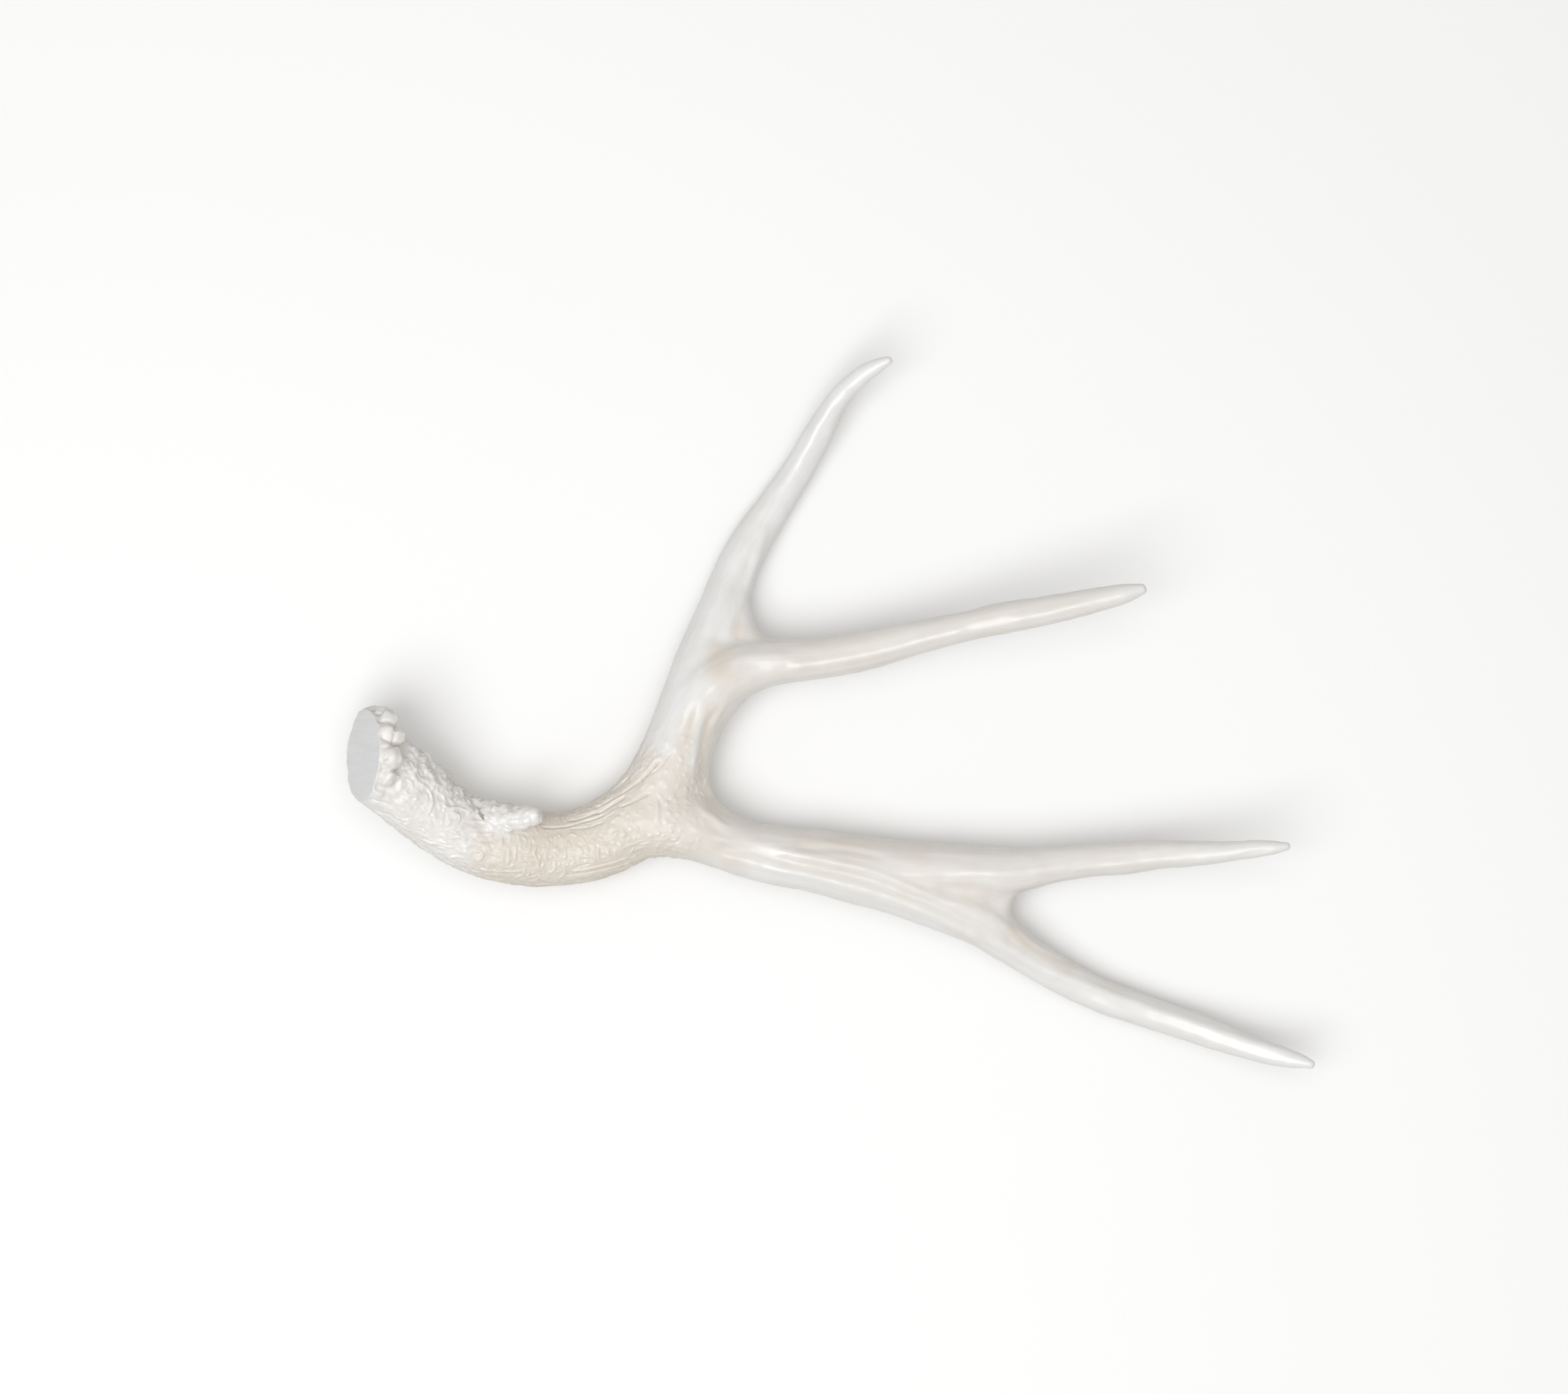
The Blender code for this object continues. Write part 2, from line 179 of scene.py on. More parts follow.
strands = {
    "beam": (
        (-240.0, -13.0, 50.0, 18.0), (-229.7, -20.9, 46.0, 18.5), (-216.5, -29.5, 41.0, 18.8),
        (-203.5, -40.2, 34.5, 18.6), (-190.0, -51.6, 29.0, 18.1), (-173.0, -61.3, 23.5, 18.4),
        (-152.0, -66.2, 19.5, 18.8), (-134.0, -67.4, 17.8, 18.0), (-118.0, -64.2, 18.7, 18.4),
        (-103.5, -57.8, 20.5, 19.2), (-91.0, -49.0, 22.0, 19.2),
    ),
    "brow": (
        (-180.0, -54.0, 27.0, 10.0), (-170.0, -53.0, 31.5, 8.8), (-161.0, -52.0, 35.5, 7.4),
        (-152.5, -51.0, 39.5, 6.0), (-145.0, -50.2, 43.2, 5.0), (-141.0, -49.8, 45.2, 3.6),
    ),
    "crest": (
        (-208.0, -27.0, 38.0, 9.0), (-200.0, -33.5, 35.0, 9.4), (-190.0, -42.5, 32.0, 9.4),
        (-180.0, -49.0, 30.5, 9.6), (-170.0, -53.5, 30.0, 8.0),
    ),
    "rearUpper": (
        (-103.0, -57.5, 20.5, 18.0), (-87.8, -43.0, 22.0, 18.5), (-77.3, -24.5, 22.5, 17.9),
        (-71.2, -8.0, 22.3, 17.3), (-66.0, 8.0, 21.5, 16.6), (-60.8, 27.0, 18.5, 14.9),
        (-53.0, 47.0, 14.5, 13.8), (-49.2, 62.0, 12.0, 11.4), (-41.4, 80.0, 10.2, 10.4),
        (-27.4, 102.0, 9.2, 8.9), (-13.8, 123.0, 11.8, 7.7), (-3.4, 141.2, 18.5, 7.3),
        (4.6, 154.6, 26.0, 5.5), (14.0, 163.5, 33.0, 4.9), (22.8, 169.0, 38.5, 3.9),
        (29.8, 171.9, 42.5, 2.2),
    ),
    "rearLower": (
        (-79.0, -25.0, 22.5, 13.5), (-68.0, 0.0, 23.0, 16.8), (-54.5, 15.0, 24.5, 16.2),
        (-40.5, 21.8, 26.0, 13.4), (-25.0, 24.7, 27.5, 11.4), (-9.0, 25.9, 29.0, 10.3),
        (15.5, 30.2, 32.0, 10.2), (40.0, 36.0, 36.5, 8.7), (64.0, 41.5, 41.0, 7.7),
        (83.5, 45.9, 45.0, 8.0), (104.0, 49.5, 49.0, 7.2), (127.5, 54.3, 54.0, 6.2),
        (143.5, 58.0, 57.5, 4.7), (152.3, 60.3, 59.5, 2.6),
    ),
    "frontUpper": (
        (-103.0, -56.5, 20.5, 18.0), (-86.0, -51.8, 22.5, 19.4), (-67.5, -55.6, 22.5, 17.2),
        (-52.0, -62.8, 21.3, 14.6), (-35.0, -69.0, 20.0, 14.2), (-10.0, -72.5, 19.2, 15.6),
        (12.0, -75.4, 19.0, 15.4), (35.0, -77.4, 19.0, 14.8), (60.0, -78.2, 20.5, 13.4),
        (82.0, -78.3, 22.8, 12.4), (95.0, -77.2, 24.5, 10.7), (108.0, -74.8, 25.5, 9.5),
        (126.0, -72.7, 26.5, 8.5), (143.0, -71.4, 28.0, 8.4), (160.0, -69.7, 31.0, 7.3),
        (176.0, -68.9, 34.5, 6.6), (192.0, -67.9, 38.5, 5.4), (206.0, -66.3, 42.5, 4.4),
        (215.5, -65.4, 45.0, 3.5), (223.6, -64.7, 47.0, 2.2),
    ),
    "frontLower": (
        (-35.0, -68.5, 20.0, 14.0), (-10.0, -73.0, 19.0, 15.2), (12.0, -78.4, 18.3, 15.8),
        (35.0, -85.2, 18.0, 15.2), (57.0, -94.2, 17.5, 14.4), (75.0, -102.6, 16.2, 13.4),
        (86.0, -111.6, 14.2, 10.8), (99.5, -121.0, 11.6, 9.5), (116.0, -130.8, 9.8, 9.2),
        (133.0, -139.3, 9.0, 8.8), (149.0, -145.1, 9.0, 8.5), (165.0, -150.7, 10.2, 8.0),
        (181.0, -155.9, 13.0, 7.8), (196.5, -161.5, 17.2, 7.1), (212.0, -166.2, 22.5, 6.3),
        (222.0, -168.8, 26.5, 5.0), (230.0, -170.6, 30.0, 3.8), (237.0, -172.3, 33.0, 2.4),
    ),
    "palm": (
        (25.0, -80.0, 18.5, 14.5), (52.0, -85.5, 18.8, 13.0), (70.0, -90.0, 19.0, 11.5),
        (80.0, -94.0, 18.8, 7.5),
    ),
    "forkWeb": (
        (-94.0, -45.0, 22.0, 15.0), (-80.0, -38.0, 22.3, 12.8), (-70.0, -33.0, 22.3, 8.0),
    ),
    "rearWeb": (
        (-62.0, 18.0, 21.0, 13.0), (-51.0, 28.0, 20.5, 10.5), (-44.5, 34.5, 20.5, 7.5),
    ),
    # the rounded edges of the crotches
    "palmRim": (
        (104.0, -78.0, 24.5, 5.5), (92.5, -82.5, 22.5, 6.2), (85.0, -88.5, 20.5, 6.6),
        (83.0, -96.0, 18.5, 6.6), (84.8, -104.0, 16.2, 6.4), (93.0, -111.0, 13.5, 6.0),
    ),
    "forkRim": (
        (-50.0, 8.0, 23.5, 6.0), (-59.5, -7.0, 22.5, 6.8), (-63.0, -17.0, 22.3, 7.0),
        (-66.0, -29.0, 22.3, 7.2), (-64.2, -41.0, 22.2, 7.2), (-57.0, -50.8, 21.8, 6.8),
        (-46.0, -56.5, 21.0, 6.2),
    ),
    "rearRim": (
        (-46.0, 66.0, 12.0, 5.5), (-45.5, 56.0, 14.0, 6.2), (-44.5, 47.0, 17.0, 6.6),
        (-41.4, 38.0, 20.5, 7.0), (-34.0, 31.5, 24.5, 6.8), (-22.0, 28.5, 27.5, 6.2),
    ),
}

growth = {
    "voxel": 0.46 * mm,
    "firstSteps": 24,  # smoothing everywhere
    "stemSteps": 70,  # more of it past the burr, so that the knobs stay crisp
    "crotchSteps": 260,  # and more again where the branches part
    "lastSteps": 3,
}

burr = {
    "centre": (-227.2, -20.9, 45.8),
    "facing": (-0.900, 0.050, 0.434),
    "radius": 23.2,
    "depth": 8.0,
    "ring": 20.4,  # how far out the knobs sit
    "tilt": 0.5,  # how far the block on each knob may lean, in radians
    "block": 1.55,  # its size over the knob's radius
    # angle from the top of the face, depth behind the face, radius along and across the rim's depth
    "knobs": (
        (1, 5.0, 4.6, 4.0), (17, 7.0, 5.2, 4.6), (34, 7.6, 4.6, 4.4), (57, 5.2, 4.0, 4.4),
        (62, 10.8, 5.0, 3.7), (75, 3.6, 3.4, 3.4), (90, 6.4, 5.6, 6.0), (116, 6.2, 4.8, 5.2),
        (141, 3.4, 3.6, 4.0), (160, 4.0, 3.8, 4.0), (184, 5.0, 4.2, 4.0), (208, 6.0, 4.8, 4.8),
        (232, 6.4, 4.6, 4.2), (256, 5.6, 4.8, 5.2), (281, 7.2, 5.0, 4.6), (304, 6.0, 4.6, 5.2),
        (328, 7.4, 4.8, 4.4), (345, 5.2, 4.2, 4.6),
    ),
}

# where the pieces part: the piece past the cut, its strand and the strand's point
cuts = {
    "rear_stem": ("rearUpper", 3),
    "front_stem": ("frontUpper", 4),
    "rear_upper_tine": ("rearUpper", 7),
    "rear_lower_tine": ("rearLower", 5),
    "front_upper_tine": ("frontUpper", 11),
    "front_lower_tine": ("frontLower", 7),
}
# webs between branches, and how far round their ends the crotch is rounded
webs = {"palm": (14, 10), "forkWeb": (18, 10), "rearWeb": (13, 9)}
sideStrands = ("brow", "crest", "palm", "forkWeb", "rearWeb", "palmRim", "forkRim", "rearRim")
browCut = {"place": (-162.0, -51.0, 37.5), "facing": (0.25, 0.52, 0.82), "radius": 16.0}


def drawStrand(name, route):
    # a curve drawn along the route, thick as the branch, then made a mesh
    bpy.ops.curve.primitive_bezier_curve_add(enter_editmode=False, location=(0, 0, 0))
    strand = bpy.context.object
    strand.name = name
    curve = strand.data
    curve.bevel_depth = 1
    curve.bevel_resolution = 6
    curve.resolution_u = 6
    curve.use_fill_caps = True
    spline = curve.splines[0]
    spline.radius_interpolation = "CARDINAL"
    spline.bezier_points.add(len(route) - 2)
    for point, (x, y, z, radius) in zip(spline.bezier_points, route):
        point.co = (x * mm, y * mm, z * mm)
        point.radius = radius * mm
        point.handle_left_type = "AUTO"
        point.handle_right_type = "AUTO"
    pick(strand)
    bpy.ops.object.convert(target="MESH")
    return bpy.context.object


def burrAxes():
    out = Vector(burr["facing"]).normalized()
    top = Vector((out.y, -out.x, 0)).normalized()
    return out, top, top.cross(out).normalized()


def addBurr():
    out, top, side = burrAxes()
    centre = Vector(burr["centre"]) * mm
    spare = burr["depth"] / 2  # past the face, cut off later
    place = centre + out * (spare - burr["depth"]) / 2 * mm
    turn = out.to_track_quat("Z", "Y").to_euler()
    dice = random.Random(7)
    bpy.ops.mesh.primitive_cone_add(
        vertices=64, radius1=(burr["radius"] - 3) * mm, radius2=(burr["radius"] + 1) * mm,
        depth=(burr["depth"] + spare) * mm, location=place, rotation=turn)
    made = [bpy.context.object]
    for angle, depth, along, across in burr["knobs"]:
        a = math.radians(angle)
        ringward = top * math.cos(a) + side * math.sin(a)
        place = centre + (ringward * burr["ring"] - out * depth) * mm
        bpy.ops.mesh.primitive_ico_sphere_add(
            subdivisions=3, radius=mm, location=place, rotation=turn, scale=(across, across, along))
        made.append(bpy.context.object)
        # a tilted block on each knob gives it flat sides
        tilt = Euler([dice.uniform(-burr["tilt"], burr["tilt"]) for axis in range(3)]).to_matrix()
        stand = Matrix((ringward, out.cross(ringward), out)).transposed() @ tilt
        bpy.ops.mesh.primitive_cube_add(
            size=burr["block"] * mm, location=place + ringward * 0.2 * mm, rotation=stand.to_euler(),
            scale=(across, across * 0.95, along))
        made.append(bpy.context.object)
    return made


def weighGroup(obj, name, weight):
    # a vertex group with the weights, in tenths
    group = obj.vertex_groups.new(name=name)
    levels = np.round(weight * 10).astype(int)
    for level in range(1, 11):
        chosen = np.flatnonzero(levels == level).tolist()
        if chosen:
            group.add(chosen, level / 10, "REPLACE")
    return name


def stemGroup(obj):
    # 0 on the burr, 1 past it
    out = burrAxes()[0]
    away = readPoints(obj.data) / mm - np.array(burr["centre"])
    near = np.linalg.norm(away, axis=1) < 60
    return weighGroup(obj, "stems", np.where(near, smoothStep(11, 22, -away @ np.array(out)), 1.0))


def crotchGroup(obj):
    # 1 at the ends of the webs between branches
    points = readPoints(obj.data) / mm
    weight = np.zeros(len(points))
    for name, (reach, rim) in webs.items():
        away = np.linalg.norm(points - np.array(strands[name][-1][:3]), axis=1)
        weight = np.maximum(weight, smoothStep(reach + rim, reach, away))
    return weighGroup(obj, "crotches", weight)


def growAntler():
    made = [drawStrand(name, route) for name, route in strands.items()] + addBurr()
    pick(*made)
    bpy.ops.object.join()
    antler = bpy.context.object
    antler.name = "antler"
    bpy.ops.object.transform_apply(location=True, rotation=True, scale=True)
    bpy.ops.object.mode_set(mode="EDIT")
    bpy.ops.mesh.select_all(action="SELECT")
    bpy.ops.mesh.remove_doubles(threshold=0.001 * mm)
    bpy.ops.object.mode_set(mode="OBJECT")
    applyModifier(antler, "REMESH", mode="VOXEL", voxel_size=growth["voxel"])
    applyModifier(antler, "SMOOTH", factor=0.5, iterations=growth["firstSteps"])
    stems = stemGroup(antler)
    applyModifier(antler, "SMOOTH", factor=0.5, iterations=growth["stemSteps"], vertex_group=stems)
    crotches = crotchGroup(antler)
    applyModifier(antler, "SMOOTH", factor=0.5, iterations=growth["crotchSteps"], vertex_group=crotches)
    antler.vertex_groups.clear()
    # the burr's face is flat: cut there and closed
    out = burrAxes()[0]
    pick(antler)
    bpy.ops.object.mode_set(mode="EDIT")
    bpy.ops.mesh.select_all(action="SELECT")
    bpy.ops.mesh.bisect(plane_co=Vector(burr["centre"]) * mm, plane_no=out, use_fill=True, clear_outer=True)
    bpy.ops.object.mode_set(mode="OBJECT")
    applyModifier(antler, "REMESH", mode="VOXEL", voxel_size=growth["voxel"])
    applyModifier(antler, "SMOOTH", factor=0.5, iterations=growth["lastSteps"])
    print("antler grown:", len(antler.data.polygons), "faces")
    return antler


def markCuts(antler):
    # rings of edges where the pieces part, at the same planes as the frame's
    out = []
    for name, index in cuts.values():
        before, here, after = (strands[name][index + step] for step in (-1, 0, 1))
        out.append((here[:3], np.subtract(after[:3], before[:3]), here[3] * 1.5))
    out.append((browCut["place"], browCut["facing"], browCut["radius"]))
    for place, facing, radius in out:
        facing = Vector(facing).normalized()
        place = Vector(place) * mm
        pick(antler)
        mesh = antler.data
        centres = np.empty(len(mesh.polygons) * 3, np.float32)
        mesh.polygons.foreach_get("center", centres)
        away = centres.reshape(-1, 3) - np.array(place)
        high = away @ np.array(facing)
        near = (abs(high) < 2 * mm) & (np.linalg.norm(away, axis=1) < radius * mm)
        selectFaces(mesh, near)
        bpy.ops.object.mode_set(mode="EDIT")
        bpy.ops.mesh.select_mode(type="FACE")
        bpy.ops.mesh.bisect(plane_co=place, plane_no=facing)
        bpy.ops.mesh.select_mode(type="EDGE")
        bpy.ops.mesh.mark_seam(clear=False)
        bpy.ops.object.mode_set(mode="OBJECT")
    print("cuts marked:", len(out))


antler = growAntler()
markCuts(antler)


# ---- the surface as arrays: every measure from here on is in mm

def curveThrough(points, step):
    # a smooth curve through the points, sampled about every step
    points = np.array(points, float)
    ends = np.vstack([2 * points[0] - points[1], points, 2 * points[-1] - points[-2]])
    rows = []
    for a, b, c, d in zip(ends, ends[1:], ends[2:], ends[3:]):
        count = max(2, round(np.linalg.norm((c - b)[:3]) / step))
        t = np.linspace(0, 1, count, endpoint=False)[:, None]
        rows.append(b + (c - a) * t / 2 + (a - 2.5 * b + 2 * c - d / 2) * t ** 2
                    + (1.5 * (b - c) + (d - a) / 2) * t ** 3)
    rows.append(points[-1:])
    return np.vstack(rows)


def unit(rows):
    return rows / np.maximum(np.linalg.norm(rows, axis=1, keepdims=True), 1e-9)


def wave(points, scale, seed=0):
    # smooth noise from -1 to 1 over points, with features about scale mm across
    shift = Vector((seed * 7.3, seed * 3.1, seed * 5.7))
    return np.array([noise.noise(Vector(p) + shift) for p in (points / scale).tolist()])


class Skin:
    # the antler's mesh with its search trees, and where each vertex lies on its strand

    def __init__(self, obj):
        self.obj = obj
        self.read()
        edges = np.empty(len(obj.data.edges) * 2, np.int32)
        obj.data.edges.foreach_get("vertices", edges)
        self.edges = edges.reshape(-1, 2)
        ends = np.concatenate([self.edges[:, 0], self.edges[:, 1]])
        self.degree = np.maximum(np.bincount(ends, minlength=len(self.points)), 1)
        self.findStrands()

    def read(self):
        self.points = readPoints(self.obj.data) / mm
        self.normals = readNormals(self.obj.data)
        self.tree = KDTree(len(self.points))
        for index, point in enumerate(self.points.tolist()):
            self.tree.insert(point, index)
        self.tree.balance()
        graph = bpy.context.evaluated_depsgraph_get()
        graph.update()
        self.shell = BVHTree.FromObject(self.obj, graph)

    def findStrands(self):
        # the nearest point of the main strands: its strand, share of the way along and offset
        rows = []
        for number, (name, route) in enumerate(strands.items()):
            if name in sideStrands:
                continue
            line = curveThrough(route, 1.0)
            along = unit(np.gradient(line[:, :3], axis=0))
            gaps = np.linalg.norm(np.diff(line[:, :3], axis=0), axis=1)
            arc = np.concatenate([[0], np.cumsum(gaps)])
            extra = np.column_stack([arc, arc / arc[-1], np.full(len(arc), number)])
            rows.append(np.hstack([line[:, :3], along, extra]))
        rows = np.vstack(rows)
        tree = KDTree(len(rows))
        for index, row in enumerate(rows[:, :3].tolist()):
            tree.insert(row, index)
        tree.balance()
        near = rows[np.array([tree.find(point)[1] for point in self.points.tolist()])]
        self.along = near[:, 3:6]
        self.share = near[:, 7]
        self.strand = near[:, 8].astype(int)
        # how far each vertex is inside the brow tine: 0 off it, 1 on it
        line = curveThrough(strands["brow"], 1.0)
        close = np.flatnonzero(np.linalg.norm(self.points - line[len(line) // 2, :3], axis=1) < 40)
        gaps = np.linalg.norm(self.points[close][:, None] - line[None, :, :3], axis=2) - line[None, :, 3]
        self.brow = np.zeros(len(self.points))
        self.brow[close] = smoothStep(2.6, 0.8, gaps.min(1))
        up = unit(np.array([0, 0, 1.0]) - self.along * self.along[:, 2:3])
        across = np.cross(self.along, up)
        offset = self.points - near[:, :3]
        arc = near[:, 6] + (offset * self.along).sum(1)
        self.grain = np.column_stack([(offset * up).sum(1), (offset * across).sum(1), arc])

    def behindFace(self):
        # depth behind the burr's cut face
        out = np.array(burrAxes()[0])
        return -(self.points - np.array(burr["centre"])) @ out

    def spread(self, values, rounds):
        # evens values out over neighbouring vertices
        first, second = self.edges[:, 0], self.edges[:, 1]
        size = len(values)
        for turn in range(rounds):
            total = np.bincount(first, values[second], size) + np.bincount(second, values[first], size)
            values = values / 2 + total / self.degree / 2
        return values

    def push(self, heights):
        writePoints(self.obj.data, (self.points + self.normals * heights[:, None]) * mm)
        self.read()

    def drop(self, x, y, side=1):
        # the surface above (or below) a point of the floor
        hit = self.shell.ray_cast(Vector((x, y, side * 200)) * mm, Vector((0, 0, -side)))[0]
        return None if hit is None else np.array(hit) / mm

    def lay(self, line, side=1):
        # a line on the floor, laid on the surface
        found = [self.drop(x, y, side) for x, y in curveThrough(line, 0.6)]
        found = [place for place in found if place is not None]
        return np.array(found)

    def stroke(self, heights, path, height, width, taper=2.0, soft=False):
        # raises a ridge (or cuts a groove) along a path, thinning out at its ends
        if len(path) < 2:
            return
        reach = width
        skip = max(1, int(reach / 0.6 / 2))
        near = set()
        for place in path[::skip].tolist() + path[-1:].tolist():
            near.update(index for _, index, _ in self.tree.find_range(place, reach * 1.3))
        if not near:
            return
        near = np.fromiter(near, int)
        gaps = np.linalg.norm(self.points[near][:, None] - path[None], axis=2)
        nearest = gaps.argmin(1)
        away = gaps[np.arange(len(near)), nearest]
        step = np.linalg.norm(np.diff(path, axis=0), axis=1)
        arc = np.concatenate([[0], np.cumsum(step)])
        end = np.minimum(arc, arc[-1] - arc)[nearest]
        if soft:
            lift = height * smoothStep(0, taper, end) * (1 - smoothStep(0, 0.85 * width, away))
        else:
            lift = height * (0.25 + 0.75 * smoothStep(0, taper, end))
            lift *= 1 - smoothStep(0.18 * width, 0.62 * width, away)
        held = heights[near]
        same = held * lift > 0
        heights[near] = np.where(same, np.sign(lift) * np.maximum(abs(held), abs(lift)), held + lift)


skin = Skin(antler)
print("surface read:", len(skin.points), "vertices")


# ---- broad forms: the valleys, rolls and ridges that catch the light

forms = {
    "swell": (0.45, 24.0),  # height and width of the slow unevenness
    "lumps": (0.22, 7.0),
    "flutes": (0.16, 3.2, 60),  # height, width and length
    "under": 0.6,  # how much of each form the hidden side repeats
    "lobes": (0.55, 0.8),  # how far the burr's lobes bulge, and the depth of the creases between them
    "ragged": (1.3, 6.5),  # how far the burr's outline wanders, and over what distance
    "crestLumps": (3.2, 6.4),  # height and width of the lumps on the low beam's upper side
    "browLumps": (0.5, 4.2),
    "pits": (
        (-1.3, 2.4, ((-214.6, -21.0), (-213.6, -22.0))),
        (-1.2, 2.2, ((-216.6, -24.6), (-215.6, -25.0))),
        (-1.0, 2.0, ((-212.6, -26.0), (-211.8, -26.6))),
        (-1.0, 2.0, ((-215.2, -28.4), (-214.4, -29.0))),
        (-0.9, 1.8, ((-217.6, -32.0), (-216.8, -32.8))),
    ),
    # height (a valley is negative), width, line
    "lines": (
        # rear stem
        (0.5, 6.0, ((-61.5, 8), (-62.3, 3.2), (-64.2, -6), (-66.2, -18.2), (-68.4, -28.4), (-69, -36))),
        (-0.6, 6.0, ((-56, 3), (-58.1, -3), (-61.2, -13.1), (-62.4, -23.2), (-62, -33.4), (-59.6, -42.5),
                     (-54.5, -48.1), (-46, -53))),
        (0.6, 4.0, ((-47, 10), (-51, 5.3), (-56.2, -4), (-58.6, -12))),
        (-0.6, 6.0, ((-38, 80), (-41.5, 70), (-47, 58), (-51.5, 48), (-55.3, 38), (-58, 29))),
        (0.5, 5.0, ((-30, 96), (-36, 76), (-40, 62), (-43.5, 50))),
        (0.5, 7.0, ((-46, 82), (-52, 68.4), (-57, 54), (-61, 40), (-64, 24), (-68, 6), (-74, -12))),
        (-0.6, 12.0, ((-57, 34), (-55, 26), (-53, 18))),
        (-0.35, 5, ((-41.9, 52.2), (-46, 43.5), (-43.5, 36.5))),
        (0.6, 6.0, ((-52, 24), (-42, 27), (-30, 27), (-16, 27))),
        # main crotch
        (0.8, 3.6, ((-66.5, -43.5), (-62.5, -47.5), (-57, -51.3), (-53.2, -54.3), (-46, -58))),
        (0.6, 3.4, ((-70.5, -52), (-66.5, -56), (-62.4, -59), (-57, -61.4))),
        (0.6, 3.0, ((-57.5, -60.5), (-53.5, -62.1), (-49.2, -62.9), (-42, -64))),
        (-0.5, 4.0, ((-63, -52), (-56, -57), (-48, -60.5))),
        # front stem
        (-1.3, 6.5, ((-59.3, -65), (-50, -66.6), (-42, -67.5), (-32, -69.7), (-22.6, -72.6), (-12, -75.2),
                     (-2.3, -77.3), (12, -80), (26.2, -84.6), (42.6, -90.8), (54, -95.8), (66, -101.5),
                     (82.2, -108.9), (94.2, -115.5))),
        (0.8, 4.5, ((-30, -66.5), (-19.6, -69), (-8, -70.8), (1.8, -72.8), (15, -76.6), (30, -81.6),
                    (45.6, -88.5), (54, -91.4))),
        (0.7, 6.0, ((-34, -74.8), (-22, -77), (-12.5, -79.4), (5.9, -84.6), (26.2, -90.8), (44, -97.3),
                    (62, -105.5), (78, -114))),
        (-0.7, 4.0, ((-20, -65.6), (-8, -66.4), (4, -67), (16, -69), (30, -72))),
        (0.5, 4.0, ((56.6, -92.3), (66.9, -94), (74.1, -97), (82.1, -101.6), (94.2, -109.6))),
        (-0.8, 10.0, ((48, -84), (60, -86), (72, -88.5), (82, -90.5))),
        (0.6, 5.0, ((60, -76.5), (76, -78), (90.4, -78.6), (110.2, -76.4), (122.7, -75))),
        # lower tine
        (0.7, 4.5, ((79, -107.6), (90, -117), (99.9, -124), (111, -128.8), (122.7, -132.6), (141.6, -140),
                    (158, -145.6), (172.8, -150.4), (192, -157), (212, -163), (226, -167))),
        (0.4, 3.0, ((88.4, -103.2), (96.7, -111), (106, -117), (120.7, -124.1))),
        (0.5, 8.0, ((129, -143), (142, -147.5), (155, -151))),
        # upper tine of the front fork
        (0.4, 4.0, ((110.2, -77.2), (122.7, -76), (141.6, -74), (158, -72.4), (176, -71.4))),
        (-0.4, 2.6, ((196.8, -69.6), (209.3, -67.2), (219, -65.4))),
        # lower tine of the rear fork
        (0.6, 4.5, ((-22.8, 22), (-8, 23.6), (9.9, 26.2), (22, 28.6), (36, 32.2), (52, 37), (68.8, 41))),
        (0.5, 4.0, ((84, 44), (104, 48), (127.7, 54))),
        (-0.4, 6.0, ((96, 50), (104, 52), (112, 54))),
        # upper tine of the rear fork
        (0.5, 4.5, ((-28, 104), (-15, 124), (-5, 142), (3.5, 155))),
        (-0.4, 5.0, ((-18, 108), (-8, 124), (0, 138))),
        # low beam: the bare facet behind the conical knob, and long flats
        (-0.7, 7.0, ((-209, -17.5), (-204, -21), (-199, -25.5))),
        (-0.6, 8.0, ((-206, -50), (-196, -58), (-186, -64))),
        (-0.5, 9.0, ((-160, -69), (-150, -73), (-138, -74), (-126, -73))),
    ),
}


def addStems(heights):
    # the valleys, rolls and ridges, and a slow unevenness
    f = forms
    for height, width, line in f["lines"]:
        skin.stroke(heights, skin.lay(line), height, width, taper=9, soft=True)
        skin.stroke(heights, skin.lay(line, side=-1), height * f["under"], width, taper=9, soft=True)
    height, width = f["swell"]
    heights += height * wave(skin.points, width, 1)
    height, width = f["lumps"]
    heights += height * wave(skin.points, width, 2)
    # long shallow flutes run with the stems and tines
    height, wide, long = f["flutes"]
    along = np.column_stack([skin.grain[:, 0] / wide, skin.grain[:, 1] / wide, skin.grain[:, 2] / long])
    along += skin.strand[:, None] * 5.3
    heights += height * skin.spread(wave(along, 1, 3), 24)


def addCrest(heights, behind):
    # lumps run on from the burr to the brow tine
    f = forms
    x, y = skin.points.T[:2]
    beamX, beamY = np.array(strands["beam"])[:, :2].T
    upper = smoothStep(-2, 8, y - np.interp(x, beamX, beamY)) * smoothStep(-138, -152, x)
    height, width = f["crestLumps"]
    steep = 1 - 0.7 * abs(skin.normals[:, 2])
    uneven = wave(skin.points, width, 9) + 0.5 * wave(skin.points, width / 2, 10)
    heights += height * upper * steep * smoothStep(9, 15, behind) * uneven
    height, width = f["browLumps"]
    uneven = wave(skin.points, width, 13) + 0.4 * wave(skin.points, width / 2, 14)
    heights += height * skin.brow * uneven


